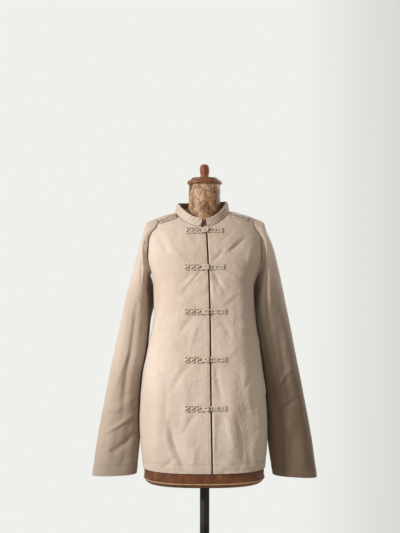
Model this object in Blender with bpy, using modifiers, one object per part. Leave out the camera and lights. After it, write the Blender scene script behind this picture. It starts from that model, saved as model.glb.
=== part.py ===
"""Mandarin collar shirt with five frog closures, worn by a limbless dress form on a pole stand.

Tables are in millimetres and the meshes in metres, +Z up, the front of the shirt toward -Y.
Angles run round the body in degrees: 0 centre front, +90 the side at +X, -90 the side at -X
and 180 centre back.
"""

import math
from collections import namedtuple

import bmesh
import bpy
import numpy as np

NAME = "mandarin_collar_shirt"
MM = 0.001

# cloth
WALL = 1.6                # shell and lining together
SEAM = 0.3                # between two sewn edges
TRIM_LIFT = 0.7           # between a panel and what is sewn on it
NORMAL_STEP = 0.6         # for the surface slope, mm and degrees

# shirt heights
HEM_Z = 735.0
FRONT_NECK_Z = 1328.0
BACK_NECK_Z = 1370.0
SIDE_NECK_Z = {-1: 1364.5, 1: 1368.5}
SHOULDER_END_Z = 1351.0
UNDERARM_Z = 1207.0
ARMHOLE_FRONT = 38.0      # armhole depth in front of and behind the shoulder line
ARMHOLE_BACK = 40.0
ARMHOLE_SQUARE = 0.8      # below 1 the armhole is fuller than an ellipse
FRONT_NECK_ROUND = 2.1    # 1 makes the front neckline a V, more makes it round
BACK_SCOOP = 2.3          # how fast the back neckline rises to the shoulder
NECK_SAMPLES = 120        # places read along half the front neckline
OPENING_HALF = 2.0        # half the slit between the fronts
OPENING_TOP_HALF = 8.0    # the same at the neck

# grid
FRONT_COLUMNS = 10
SHOULDER_ROWS = 3
ARMHOLE_ROWS = 10
SIDE_ROWS = 13
ARMHOLE_CENTRE_TOP_Z = 1302.0    # centre line height level with the shoulder end
ARMHOLE_CENTRE_BOTTOM_Z = 1195.0
BACK_CENTRE_TOP_Z = 1336.0
SLEEVE_RINGS = 20
SLEEVE_LEAN = {-1: 0.1, 1: 0.4}    # how far the sleeve's front ridge sits toward the body
SET_BACK = 25.0           # most that a sleeve's two edges lie behind the armhole
SET_BACK_ALONG = [0.0, 0.10, 0.30, 0.85, 1.0]
SET_BACK_SHARE = [0.0, 0.0, 1.0, 1.0, 0.4]
LEAN_START = 0.3          # share of the sleeve over which the lean grows
LEAN_END = 0.4            # lean left at the cuff
COLLAR_ROWS = 3

# collar
COLLAR_FRONT = 21.0       # stand height at centre front and centre back
COLLAR_BACK = 27.0
COLLAR_LEAN = 0.27        # inward lean for each mm of height
COLLAR_END_LEAN = 3.0     # how far the front ends lean over the slit

# stand
NECK_TOP_Z = 1434.7
FORM_BOTTOM_Z = 697.0
FORM_LIFT = 3.4           # cloth surface is read this much higher for the form
NECK_BLEND = 12.0
POLE_RADIUS = 11.9
BASE_RADIUS = 180.0
BASE_TOP_Z = 20.0
TURN_STEPS = 24

Level = namedtuple("Level", "z left right front back power")
BODY = [
    Level(690, 153.0, 150.5, 101, 102, 2.6),
    Level(735, 154.0, 151.5, 102, 103, 2.6),
    Level(796, 160.0, 156.5, 104, 107, 2.6),
    Level(856, 161.5, 155.5, 103, 107, 2.6),
    Level(926, 157.5, 150.0, 101, 103, 2.6),
    Level(999, 146.5, 141.5, 97, 96, 2.7),
    Level(1056, 136.0, 132.5, 94, 91, 2.8),
    Level(1114, 127.0, 124.0, 94, 89, 2.8),
    Level(1181, 128.0, 121.5, 96, 93, 2.8),
    Level(1211, 132.5, 132.0, 96, 96, 2.7),
    Level(1258, 146.0, 146.0, 92, 97, 2.6),
    Level(1297, 145.5, 146.0, 84, 93, 2.5),
    Level(1315, 139.0, 140.0, 75, 89, 2.4),
    Level(1326, 131.0, 134.5, 66, 85, 2.3),
    Level(1340, 123.0, 127.0, 55, 79, 2.3),
    Level(1351, 117.0, 121.0, 42, 72, 2.3),
    Level(1359, 94.0, 100.0, 33, 65.5, 2.3),
    Level(1364.5, 74.0, 79.0, 25, 60, 2.2),
    Level(1369, 62.0, 60.5, 14, 56, 2.2),
    Level(1376, 50.0, 46.0, 6, 50, 2.2),
]

Ease = namedtuple("Ease", "z side depth")
EASE = [
    Ease(690, 3.0, 4.5),
    Ease(737, 4.0, 5.0),
    Ease(796, 8.0, 8.0),
    Ease(926, 11.0, 9.0),
    Ease(1056, 12.5, 9.0),
    Ease(1146, 10.0, 7.5),
    Ease(1211, 7.0, 6.5),
    Ease(1229, 10.5, 6.0),
    Ease(1258, 15.0, 5.5),
    Ease(1297, 14.0, 4.5),
    Ease(1326, 3.0, 2.0),
    Ease(1340, 1.2, 1.6),
    Ease(1376, 1.2, 1.8),
]

NeckRing = namedtuple("NeckRing", "z radius")
NECK = [
    NeckRing(690, 20),
    NeckRing(1300, 30),
    NeckRing(1335, 45),
    NeckRing(1350, 44),
    NeckRing(1368, 41.5),
    NeckRing(1390, 39.4),
    NeckRing(1434.7, 38.8),
]

# slit between the fronts, which wanders to one side toward the hem
Slit = namedtuple("Slit", "z x")
SLIT = [
    Slit(690, 18.5),
    Slit(737, 17.8),
    Slit(805, 16.6),
    Slit(939, 14.3),
    Slit(1054, 13.4),
    Slit(1177, 10.8),
    Slit(1258, 7.2),
    Slit(1310, 4.2),
    Slit(1328, -2.0),
]

# sleeve, from the armhole to the cuff: outer edge, inner edge, half depths and how much of the
# armhole's own shape is left
Arm = namedtuple("Arm", "along outer_z outer_x inner_z inner_x front back armhole power")
SLEEVES = {
    -1: [
        Arm(0.000, 1351, 117.0, 1207, 131.0, 38, 40, 1.00, 2.0),
        Arm(0.012, 1348.5, 124.5, 1211, 132.6, 39, 41, 0.93, 2.0),
        Arm(0.030, 1344.5, 134.5, 1211.5, 136.3, 41, 43, 0.78, 2.0),
        Arm(0.060, 1338, 145.0, 1206, 139.8, 43, 45, 0.58, 2.0),
        Arm(0.100, 1319, 152.0, 1195, 142.0, 45, 48, 0.36, 2.1),
        Arm(0.160, 1285, 163.0, 1176, 143.5, 42, 54, 0.15, 2.1),
        Arm(0.260, 1216, 181.0, 1141, 140.0, 38, 64, 0.00, 2.2),
        Arm(0.380, 1131, 203.0, 1096, 138.5, 34, 64, 0.00, 2.2),
        Arm(0.500, 1042, 222.3, 1030, 143.0, 31, 60, 0.00, 2.3),
        Arm(0.620, 960, 240.0, 957, 156.2, 29, 55, 0.00, 2.3),
        Arm(0.740, 879, 255.0, 880, 162.4, 26, 49, 0.00, 2.4),
        Arm(0.860, 800, 269.8, 802, 162.9, 24, 40, 0.00, 2.4),
        Arm(1.000, 708, 281.8, 713, 169.8, 20, 31, 0.00, 2.4),
    ],
    1: [
        Arm(0.000, 1351, 121.0, 1207, 131.0, 38, 40, 1.00, 2.0),
        Arm(0.012, 1348.5, 128.5, 1211, 132.4, 39, 41, 0.93, 2.0),
        Arm(0.030, 1344.5, 138.5, 1211.5, 135.3, 41, 43, 0.78, 2.0),
        Arm(0.060, 1338, 148.5, 1206, 137.6, 43, 45, 0.58, 2.0),
        Arm(0.100, 1319, 154.5, 1195, 138.6, 45, 48, 0.36, 2.1),
        Arm(0.160, 1285, 169.5, 1176, 137.8, 42, 54, 0.15, 2.1),
        Arm(0.260, 1216, 188.5, 1141, 133.5, 38, 64, 0.00, 2.2),
        Arm(0.380, 1131, 206.5, 1096, 131.0, 34, 64, 0.00, 2.2),
        Arm(0.500, 1042, 224.0, 1030, 139.2, 31, 60, 0.00, 2.3),
        Arm(0.620, 960, 239.8, 957, 148.6, 29, 55, 0.00, 2.3),
        Arm(0.740, 879, 255.5, 880, 156.2, 26, 49, 0.00, 2.4),
        Arm(0.860, 800, 269.8, 802, 158.6, 24, 40, 0.00, 2.4),
        Arm(1.000, 703, 281.8, 711, 170.8, 20, 31, 0.00, 2.4),
    ],
}

# largest folds of the body: +rise stands out, -rise goes in; reach is the half width
Fold = namedtuple("Fold", "face x0 z0 x1 z1 rise reach")
FOLDS = [
    Fold("front", 106, 1318, 52, 1252, -2.6, 11),
    Fold("front", 86, 1255, 84, 990, 5.0, 20),
    Fold("front", -112, 1318, -92, 1262, -2.4, 15),
    Fold("front", -26, 1216, -66, 1150, -3.0, 14),
    Fold("front", 48, 1208, 29, 1138, 2.4, 15),
    Fold("front", -84, 860, -46, 745, -4.6, 15),
    Fold("front", -108, 1010, -118, 745, 4.6, 20),
    Fold("front", 62, 985, 70, 740, 4.6, 18),
    Fold("front", 98, 900, 108, 742, -3.8, 15),
    Fold("back", -70, 1250, -28, 1120, -2.8, 20),
    Fold("back", 76, 1240, 40, 1130, -3.0, 19),
    Fold("back", 52, 1000, 66, 742, 5.4, 22),
    Fold("back", -36, 985, -44, 742, -4.6, 20),
    Fold("back", -104, 960, -112, 742, 4.8, 20),
    Fold("back", 6, 1160, 12, 1000, 4.0, 22),
]

# largest folds of the sleeves: turn is the angle from the outer edge toward the front
Groove = namedtuple("Groove", "side turn0 along0 turn1 along1 rise reach")
GROOVES = [
    Groove(-1, 62, 0.40, 84, 0.74, -6.0, 26),
    Groove(-1, 112, 0.30, 122, 0.62, 3.0, 22),
    Groove(-1, 70, 0.76, 112, 0.70, 3.0, 20),
    Groove(-1, 250, 0.36, 282, 0.80, -5.0, 28),
    Groove(1, 84, 0.44, 72, 0.80, -5.0, 28),
    Groove(1, 122, 0.12, 116, 0.40, 3.0, 22),
    Groove(1, 276, 0.34, 262, 0.74, -5.5, 28),
]

# frog closures: the knot half ends over the slit, the loop half starts there
Frog = namedtuple("Frog", "z left knot loop right")
FROGS = [
    Frog(1316.5, -46, 9.0, 11.2, 42.5),
    Frog(1229, -48.5, 10.0, 12.5, 45.5),
    Frog(1122.5, -48.5, 10.0, 12.5, 50.5),
    Frog(1007.5, -48.5, 10.0, 12.5, 50.5),
    Frog(891.5, -48.5, 10.0, 12.5, 50.5),
]
KNOT_LENGTH = 21.0
LOOP_COUNT = 3
LOOP_HALF = 8.0           # half height of the twisted loops
LOOP_WAIST = 0.66         # narrow places between them
LOOP_RISE = 3.8
KNOT_HALF = 8.2
KNOT_RISE = 8.0
BAR_HALF = 5.6            # half height of the plain cords
BAR_RISE = 3.0
TRIM_EDGE = 0.9           # height at the border of a sewn-on piece
FROG_STATIONS = 11
FROG_ACROSS = 4

# strips sewn below the shoulder seams
Strip = namedtuple("Strip", "side x0 z0 x1 z1 width")
STRIPS = [
    Strip(-1, -78.5, 1350.5, -108.5, 1340.0, 8.5),
    Strip(1, 73.5, 1353.6, 103.0, 1345.2, 8.0),
]
STRIP_RISE = 1.5
STRIP_STATIONS = 8
STRIP_ACROSS = 2

CAP_PROFILE = [(0, 1451), (31.5, 1451), (33.5, 1449), (33.5, 1446.2), (40.5, 1444.2),
               (43.4, 1440.5), (43.0, 1436.4), (41.0, 1434.7), (0, 1434.7)]
FINIAL_PROFILE = [(0, 1485.8), (5.2, 1484.9), (9.4, 1482.2), (12.0, 1477.2), (12.3, 1470.5),
                  (11.0, 1462.5), (10.4, 1456.5), (11.2, 1451), (0, 1451)]
POLE_PROFILE = [(0, FORM_BOTTOM_Z), (POLE_RADIUS, FORM_BOTTOM_Z),
                (POLE_RADIUS, BASE_TOP_Z), (0, BASE_TOP_Z)]
BASE_PROFILE = [(0, BASE_TOP_Z), (24, BASE_TOP_Z), (130, 18), (168, 15.5), (177.5, 11.5),
                (BASE_RADIUS, 6), (BASE_RADIUS, 0), (0, 0)]

COLOURS = {
    "cloth": ((0.62, 0.49, 0.36), 0.0, 0.85),
    "braid": ((0.66, 0.54, 0.41), 0.0, 0.7),
    "cover": ((0.36, 0.17, 0.07), 0.0, 0.6),
    "wood": ((0.42, 0.14, 0.06), 0.0, 0.45),
    "metal": ((0.07, 0.06, 0.055), 0.8, 0.4),
}


class Curve:
    """Smooth monotone cubic through points given in rising order of the first value."""

    def __init__(self, xs, ys):
        self.xs = np.asarray(xs, float)
        self.ys = np.asarray(ys, float)
        step = np.diff(self.xs)
        slope = np.diff(self.ys) / step
        inner = np.zeros(len(self.xs))
        for i in range(1, len(self.xs) - 1):
            if slope[i - 1] * slope[i] > 0:
                near, far = 2 * step[i] + step[i - 1], step[i] + 2 * step[i - 1]
                inner[i] = (near + far) / (near / slope[i - 1] + far / slope[i])
        inner[0], inner[-1] = slope[0], slope[-1]
        self.slopes = inner

    def __call__(self, x):
        x = min(max(x, self.xs[0]), self.xs[-1])
        i = min(int(np.searchsorted(self.xs, x, side="right")) - 1, len(self.xs) - 2)
        step = self.xs[i + 1] - self.xs[i]
        t = (x - self.xs[i]) / step
        return (self.ys[i] * (1 + 2 * t) * (1 - t) ** 2
                + self.slopes[i] * step * t * (1 - t) ** 2
                + self.ys[i + 1] * t * t * (3 - 2 * t)
                + self.slopes[i + 1] * step * t * t * (t - 1))


def curves(table):
    """One Curve for each column of a table, over its first column."""
    keys = [row[0] for row in table]
    names = table[0]._fields[1:]
    return {name: Curve(keys, [getattr(row, name) for row in table]) for name in names}


BODY_CURVES = curves(BODY)
EASE_CURVES = curves(EASE)
NECK_CURVE = curves(NECK)["radius"]
SLIT_CURVE = curves(SLIT)["x"]
ARM_CURVES = {side: curves(table) for side, table in SLEEVES.items()}


def unit(vector):
    return vector / np.linalg.norm(vector)


def lerp(a, b, t):
    return a + (b - a) * t


def body_size(angle, z):
    """Half width and depth of the body section on the side that the angle points to."""
    turn = (angle + 180) % 360 - 180
    half = BODY_CURVES["left" if turn < 0 else "right"](z)
    depth = BODY_CURVES["front" if abs(turn) <= 90 else "back"](z)
    return half, depth


def section(angle, half, depth, power):
    """Point of a rounded-box section, seen from its centre at the angle."""
    x, y = math.sin(math.radians(angle)), -math.cos(math.radians(angle))
    size = (abs(x) ** power + abs(y) ** power) ** (1 / power)
    return half * x / size, depth * y / size


def base_point(angle, z):
    half, depth = body_size(angle, z)
    x, y = section(angle, half, depth, BODY_CURVES["power"](z))
    return np.array([x, y, z])


def base_normal(angle, z):
    """Outward normal of the body surface without its folds."""
    across = base_point(angle + NORMAL_STEP, z) - base_point(angle - NORMAL_STEP, z)
    up = base_point(angle, z + NORMAL_STEP) - base_point(angle, z - NORMAL_STEP)
    return unit(np.cross(across, up))


def ridge(px, pz, fold):
    """Height of one fold at a place on the cloth."""
    start = np.array([fold.x0, fold.z0], float)
    run = np.array([fold.x1, fold.z1], float) - start
    t = float(np.dot(np.array([px, pz]) - start, run) / np.dot(run, run))
    if t <= 0 or t >= 1:
        return 0.0
    away = np.linalg.norm(start + run * t - np.array([px, pz]))
    return fold.rise * math.sin(math.pi * t) ** 0.7 * math.exp(-(away / fold.reach) ** 2)


def fold_rise(angle, point):
    turn = abs((angle + 180) % 360 - 180)
    face = "front" if turn <= 90 else "back"
    fade = min(1.0, abs(turn - 90) / 22.0)
    total = sum(ridge(point[0], point[2], fold) for fold in FOLDS if fold.face == face)
    return total * fade * fade * (3 - 2 * fade)


def cloth_point(angle, z, lift=0.0):
    """Point of the cloth's outer face, moved out by the lift."""
    point = base_point(angle, z)
    return point + base_normal(angle, z) * (fold_rise(angle, point) + lift)


def angle_at_x(x, z):
    """Angle on the front at which the body reaches the given x."""
    half = BODY_CURVES["left" if x < 0 else "right"](z)
    power = BODY_CURVES["power"](z)
    across = min(abs(x) / half, 0.999)
    forward = (1 - across ** power) ** (1 / power)
    return math.copysign(math.degrees(math.atan2(across, forward)), x)


def armhole_angle(side, turn, face):
    """Angle and height of the armhole seam; turn is 0 at the shoulder and 180 at the underarm."""
    middle = (SHOULDER_END_Z + UNDERARM_Z) / 2
    z = middle + (SHOULDER_END_Z - UNDERARM_Z) / 2 * math.cos(math.radians(turn))
    reach = ARMHOLE_FRONT if face == "front" else ARMHOLE_BACK
    y = reach * max(0.0, math.sin(math.radians(turn))) ** ARMHOLE_SQUARE
    depth, power = BODY_CURVES[face](z), BODY_CURVES["power"](z)
    forward = y / depth
    across = (1 - forward ** power) ** (1 / power)
    from_front = math.degrees(math.atan2(across, forward))
    return side * (from_front if face == "front" else 180 - from_front), z


def armhole_point(side, turn):
    """Armhole point; turn runs from the shoulder over the front and back to the shoulder."""
    face = "front" if turn <= 180 else "back"
    angle, z = armhole_angle(side, turn if turn <= 180 else 360 - turn, face)
    return base_point(angle, z)


def edge_rows(side, face):
    """Outer edge of a half panel as (angle, z): shoulder seam, armhole, side seam."""
    rows = []
    for i in range(SHOULDER_ROWS):
        rows.append((side * 90.0, lerp(SIDE_NECK_Z[side], SHOULDER_END_Z, i / SHOULDER_ROWS)))
    for i in range(ARMHOLE_ROWS):
        rows.append(armhole_angle(side, 180.0 * i / ARMHOLE_ROWS, face))
    for i in range(SIDE_ROWS + 1):
        rows.append((side * 90.0, lerp(UNDERARM_Z, HEM_Z, i / SIDE_ROWS)))
    return rows


def centre_rows(face):
    """Heights of the same rows on the centre line."""
    top = FRONT_NECK_Z if face == "front" else BACK_NECK_Z
    middle = ARMHOLE_CENTRE_TOP_Z if face == "front" else BACK_CENTRE_TOP_Z
    heights = [lerp(top, middle, i / SHOULDER_ROWS) for i in range(SHOULDER_ROWS)]
    heights += [lerp(middle, ARMHOLE_CENTRE_BOTTOM_Z, i / ARMHOLE_ROWS) for i in range(ARMHOLE_ROWS)]
    heights += [lerp(ARMHOLE_CENTRE_BOTTOM_Z, HEM_Z, i / SIDE_ROWS) for i in range(SIDE_ROWS + 1)]
    return heights


def opening_half(z):
    """Half the slit between the fronts, wider at the neck."""
    t = min(1.0, max(0.0, (z - FRONT_NECK_Z + 9) / 9))
    return lerp(OPENING_HALF, OPENING_TOP_HALF, t * t)


def neck_shares(side):
    """Shares of the turn and of the rise at each column of half the front neckline."""
    start_x = SLIT_CURVE(FRONT_NECK_Z) + side * OPENING_TOP_HALF
    end_x = side * BODY_CURVES["left" if side < 0 else "right"](SIDE_NECK_Z[side])
    across = np.linspace(0, 1, NECK_SAMPLES + 1)
    angles = []
    for share in across:
        z = lerp(FRONT_NECK_Z, SIDE_NECK_Z[side], share ** FRONT_NECK_ROUND)
        angles.append(angle_at_x(lerp(start_x, end_x, share), z))
    angles[-1] = side * 90.0
    turn = (np.array(angles) - angles[0]) / (angles[-1] - angles[0])
    even = (across + turn) / 2
    columns = np.linspace(0, 1, FRONT_COLUMNS + 1)
    rise = np.interp(columns, even, across) ** FRONT_NECK_ROUND
    return np.interp(columns, even, turn), rise


def row_shares(side, face, row):
    """The same for any row: shaped at the neckline, even from the underarm down."""
    columns = np.linspace(0, 1, FRONT_COLUMNS + 1)
    down = min(1.0, row / (SHOULDER_ROWS + ARMHOLE_ROWS))
    if face == "back":
        return columns, 1 - (1 - columns) ** lerp(BACK_SCOOP, 1.0, down)
    turn, rise = neck_shares(side)
    return lerp(turn, columns, down), lerp(rise, columns, down)


def half_panel(side, face):
    """Angles and heights of a half panel, rows down, columns from the centre line outward."""
    grid = []
    for row, ((edge, edge_z), centre_z) in enumerate(zip(edge_rows(side, face), centre_rows(face))):
        if face == "front":
            start = angle_at_x(SLIT_CURVE(centre_z) + side * opening_half(centre_z), centre_z)
        else:
            start = side * 180.0
        turns, rises = row_shares(side, face, row)
        grid.append([(lerp(start, edge, turn), lerp(centre_z, edge_z, rise))
                     for turn, rise in zip(turns, rises)])
    return grid


def wall(angles):
    """Outer and inner face of a panel from its angles and heights."""
    outer = np.array([[cloth_point(a, z) for a, z in line] for line in angles])
    inner = np.array([[cloth_point(a, z) - base_normal(a, z) * WALL for a, z in line]
                      for line in angles])
    return outer, inner


def pull_back(faces, edges):
    """Move the named edges of both faces toward the panel by half a seam gap."""
    for grid in faces:
        for edge in edges:
            view = {"left": grid.swapaxes(0, 1), "right": grid.swapaxes(0, 1)[::-1],
                    "top": grid, "bottom": grid[::-1]}[edge]
            step = view[1] - view[0]
            view[0] += step / np.linalg.norm(step, axis=1, keepdims=True) * SEAM / 2


def front_panel(side):
    faces = wall(half_panel(side, "front"))
    pull_back(faces, ("top", "right"))
    return faces


def back_panel():
    left, right = half_panel(-1, "back"), half_panel(1, "back")
    joined = [line[::-1] + other[1:] for line, other in zip(left, right)]
    faces = wall(joined)
    pull_back(faces, ("top", "left", "right"))
    return faces


def grid_normals(grid, closed):
    """Outward normals of a sleeve-like grid of rings."""
    along = np.gradient(grid, axis=0)
    if closed:
        around = np.roll(grid, -1, axis=1) - np.roll(grid, 1, axis=1)
    else:
        around = np.gradient(grid, axis=1)
    normals = np.cross(around, along)
    return normals / np.linalg.norm(normals, axis=2, keepdims=True)


def groove_rise(side, turn, along):
    total = 0.0
    for groove in GROOVES:
        if groove.side != side:
            continue
        t = (along - groove.along0) / (groove.along1 - groove.along0)
        if 0 < t < 1:
            away = (turn - lerp(groove.turn0, groove.turn1, t)) / groove.reach
            total += groove.rise * math.sin(math.pi * t) ** 0.7 * math.exp(-away * away)
    return total


def sleeve_point(side, along, turn):
    """Point of the sleeve before its grooves; the armhole's shape fades out along it."""
    arm = {name: curve(along) for name, curve in ARM_CURVES[side].items()}
    start = SLEEVES[side][0]
    outer = np.array([side * arm["outer_x"], 0, arm["outer_z"]])
    inner = np.array([side * arm["inner_x"], 0, arm["inner_z"]])
    back = SET_BACK * float(np.interp(along, SET_BACK_ALONG, SET_BACK_SHARE))
    reach = arm["front"] + back if turn <= 180 else arm["back"] - back
    sin_part, cos_part = section(turn, 1.0, -1.0, arm["power"])
    if turn <= 180:
        lean = SLEEVE_LEAN[side] * min(1, along / LEAN_START) * lerp(1, LEAN_END, along)
        cos_part -= lean * math.sin(math.radians(turn)) ** 2
    point = (outer + inner) / 2 + (outer - inner) / 2 * cos_part
    point[1] = back - reach * sin_part
    if arm["armhole"] > 0:
        first_out = np.array([side * start.outer_x, 0, start.outer_z])
        first_in = np.array([side * start.inner_x, 0, start.inner_z])
        first = (first_out + first_in) / 2
        first = first + (first_out - first_in) / 2 * math.cos(math.radians(turn))
        first[1] = -(start.front if turn <= 180 else start.back) * math.sin(math.radians(turn))
        point = point + (armhole_point(side, turn) - first) * arm["armhole"]
    return point


def sleeve_alongs():
    """Ring places: close together at the armhole, then even to the cuff."""
    first = [0.0, 0.012, 0.03, 0.06, 0.10, 0.15]
    rest = SLEEVE_RINGS - len(first)
    return first + [lerp(first[-1], 1.0, (i + 1) / rest) for i in range(rest)]


def sleeve(side):
    turns = [360.0 * i / (2 * ARMHOLE_ROWS) for i in range(2 * ARMHOLE_ROWS)]
    alongs = sleeve_alongs()
    outer = np.array([[sleeve_point(side, along, turn) for turn in turns] for along in alongs])
    normals = grid_normals(outer, True) * side
    rises = np.array([[groove_rise(side, turn, along) for turn in turns] for along in alongs])
    outer = outer + normals * rises[:, :, None]
    inner = outer - normals * WALL
    faces = (outer, inner)
    for grid in faces:
        step = grid[1] - grid[0]
        grid[0] += step / np.linalg.norm(step, axis=1, keepdims=True) * SEAM / 2
    return faces


def neckline():
    """Angles and heights of the neckline, from one front end round the back to the other."""
    near = half_panel(-1, "front")[0] + half_panel(-1, "back")[0][::-1][1:]
    far = half_panel(1, "back")[0][1:] + half_panel(1, "front")[0][::-1][1:]
    return near + [(angle - 360, z) for angle, z in far]


def collar():
    outer, inner = [[] for _ in range(COLLAR_ROWS + 1)], [[] for _ in range(COLLAR_ROWS + 1)]
    line = neckline()
    first, last = line[0][0], line[-1][0]
    for angle, z in line:
        t = (first - angle) / (first - last)
        foot = base_point(angle, z)
        body_out = base_normal(angle, z)
        flat = unit(np.array([foot[0], foot[1], 0.0]))
        up = unit(np.array([0, 0, 1.0]) - flat * COLLAR_LEAN)
        out = unit(flat + np.array([0, 0, COLLAR_LEAN]))
        height = lerp(COLLAR_FRONT, COLLAR_BACK, math.sin(math.pi * t) ** 0.8)
        foot = foot + unit(np.cross(np.cross(body_out, up), body_out)) * SEAM / 2
        ends = COLLAR_END_LEAN * (max(0, 1 - t * 12) - max(0, 1 - (1 - t) * 12))
        for row in range(COLLAR_ROWS + 1):
            share = row / COLLAR_ROWS
            point = foot + up * height * share + np.array([ends * share, 0, 0])
            inward = unit(body_out + out) * 1.1 if row == 0 else out
            outer[row].append(point)
            inner[row].append(point - inward * WALL)
    return np.array(outer), np.array(inner)


def new_object(name, verts, faces, material):
    """Mesh object from points in millimetres, its faces turned outward."""
    mesh = bpy.data.meshes.new(name)
    mesh.from_pydata([tuple(float(v) * MM for v in p) for p in verts], [], faces)
    work = bmesh.new()
    work.from_mesh(mesh)
    bmesh.ops.recalc_face_normals(work, faces=work.faces)
    if work.calc_volume(signed=True) < 0:
        bmesh.ops.reverse_faces(work, faces=work.faces)
    work.to_mesh(mesh)
    work.free()
    obj = bpy.data.objects.new(name, mesh)
    obj.data.materials.append(material)
    bpy.data.collections[NAME].objects.link(obj)
    return obj


def shell(name, faces, material, closed=False):
    """Closed wall between two grids, open round their rims or joined into a ring."""
    outer, inner = faces
    rows, columns = outer.shape[:2]
    count = rows * columns
    verts = list(outer.reshape(-1, 3)) + list(inner.reshape(-1, 3))
    last = columns if closed else columns - 1
    polygons = []
    for r in range(rows - 1):
        for c in range(last):
            d = (c + 1) % columns
            quad = (r * columns + c, r * columns + d, (r + 1) * columns + d, (r + 1) * columns + c)
            polygons.append(quad)
            polygons.append(tuple(count + i for i in reversed(quad)))
    for r in (0, rows - 1):
        for c in range(last):
            a, b = r * columns + c, r * columns + (c + 1) % columns
            polygons.append((a, b, count + b, count + a))
    if not closed:
        for r in range(rows - 1):
            for c in (0, columns - 1):
                a, b = r * columns + c, (r + 1) * columns + c
                polygons.append((a, b, count + b, count + a))
    return new_object(name, verts, polygons, material)


def on_front(x, z, lift):
    return cloth_point(angle_at_x(x, z), z, lift)


def sewn_on(name, places, rises, material):
    """Closed body on the front: places are (x, z) rows, rises the heights above the cloth."""
    under = np.array([[on_front(x, z, TRIM_LIFT) for x, z in line] for line in places])
    over = np.array([[on_front(x, z, TRIM_LIFT + h) for (x, z), h in zip(line, high)]
                     for line, high in zip(places, rises)])
    return shell(name, (over, under), material)


def frog_outline(t, loops):
    """Half height and rise of a frog at t, 0 at its outer end and 1 at the slit."""
    if not loops:
        return BAR_HALF, BAR_RISE
    knot = 1 - KNOT_LENGTH / loops
    if t < knot:
        wave = abs(math.sin(math.pi * LOOP_COUNT * t / knot))
        return LOOP_HALF * lerp(LOOP_WAIST, 1, wave), LOOP_RISE
    bulge = math.sqrt(max(0.0, 1 - (2 * (t - knot) / (1 - knot) - 1) ** 2))
    return KNOT_HALF * lerp(0.6, 1, bulge), lerp(LOOP_RISE, KNOT_RISE, bulge)


def frog_half(name, start, end, z, loops, material):
    places, rises = [], []
    for i in range(FROG_STATIONS + 1):
        t = i / FROG_STATIONS
        half, rise = frog_outline(t, loops)
        x = lerp(start, end, t)
        line, high = [], []
        for j in range(FROG_ACROSS + 1):
            v = 2 * j / FROG_ACROSS - 1
            line.append((x, z + v * half))
            border = i in (0, FROG_STATIONS)
            swell = 0.0 if border else math.sqrt(max(0.0, 1 - v * v))
            high.append(lerp(TRIM_EDGE, rise, swell))
        places.append(line)
        rises.append(high)
    return sewn_on(name, places, rises, material)


def shoulder_strip(name, strip, material):
    start, end = np.array([strip.x0, strip.z0]), np.array([strip.x1, strip.z1])
    down = unit(np.array([(end - start)[1], -(end - start)[0]]))
    down = down if down[1] < 0 else -down
    places, rises = [], []
    for i in range(STRIP_STATIONS + 1):
        middle = lerp(start, end, i / STRIP_STATIONS)
        offsets = [strip.width * (j / STRIP_ACROSS - 0.5) for j in range(STRIP_ACROSS + 1)]
        places.append([tuple(middle + down * off) for off in offsets])
        rises.append([TRIM_EDGE if abs(off) > 0.1 else STRIP_RISE for off in offsets])
    return sewn_on(name, places, rises, material)


def form_ring(z, inset, count):
    """Section of the dress form, which follows the cloth from inside and blends into the neck."""
    read = z + FORM_LIFT
    side_ease, depth_ease = EASE_CURVES["side"](z), EASE_CURVES["depth"](z)
    power, neck = BODY_CURVES["power"](read), NECK_CURVE(z)
    ring = []
    for i in range(count):
        angle = 360.0 * i / count
        half, depth = body_size(angle, read)
        x, y = section(angle, half - side_ease - inset, depth - depth_ease - inset, power)
        radius = math.hypot(x, y)
        if z > BODY[-1].z:
            factor = neck / radius
        else:
            factor = (1 + (neck / radius) ** NECK_BLEND) ** (1 / NECK_BLEND)
        ring.append((x * factor, y * factor, z))
    return ring


def dress_form(material):
    """Torso and neck as one body lofted through its rings."""
    count = 28
    rims = [(FORM_BOTTOM_Z, 12), (699.5, 5.5), (704, 1.6), (711, 0)]
    heights = [737, 766, 796, 830, 866, 900, 935, 970, 1005, 1040, 1080, 1120, 1155, 1185, 1211,
               1235, 1260, 1282, 1300, 1315, 1326, 1336, 1344, 1350, 1355, 1359, 1362.5, 1366,
               1371, 1380, 1392, 1412, NECK_TOP_Z]
    rings = [form_ring(z, inset, count) for z, inset in rims + [(z, 0) for z in heights]]
    verts = [p for ring in rings for p in ring]
    faces = []
    for r in range(len(rings) - 1):
        for c in range(count):
            d = (c + 1) % count
            faces.append((r * count + c, r * count + d, (r + 1) * count + d, (r + 1) * count + c))
    faces.append(tuple(range(count)))
    faces.append(tuple(range((len(rings) - 1) * count, len(rings) * count)))
    return new_object("form_torso", verts, faces, material)


def turned(name, profile, material):
    """Body of revolution from a (radius, height) profile listed from the top down."""
    mesh = bpy.data.meshes.new(name)
    points = [(r * MM, 0.0, z * MM) for r, z in profile]
    mesh.from_pydata(points, [(i, i + 1) for i in range(len(points) - 1)], [])
    obj = bpy.data.objects.new(name, mesh)
    obj.data.materials.append(material)
    bpy.data.collections[NAME].objects.link(obj)
    screw = obj.modifiers.new("turn", "SCREW")
    screw.axis = "Z"
    screw.angle = math.tau
    screw.steps = TURN_STEPS
    screw.render_steps = TURN_STEPS
    screw.use_merge_vertices = True
    screw.merge_threshold = 0.0001
    return obj


def make_material(name, kind):
    colour, metallic, roughness = COLOURS[kind]
    material = bpy.data.materials.new(name)
    material.use_nodes = True
    shader = material.node_tree.nodes["Principled BSDF"]
    shader.inputs["Base Color"].default_value = (*colour, 1.0)
    shader.inputs["Metallic"].default_value = metallic
    shader.inputs["Roughness"].default_value = roughness
    return material


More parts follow.
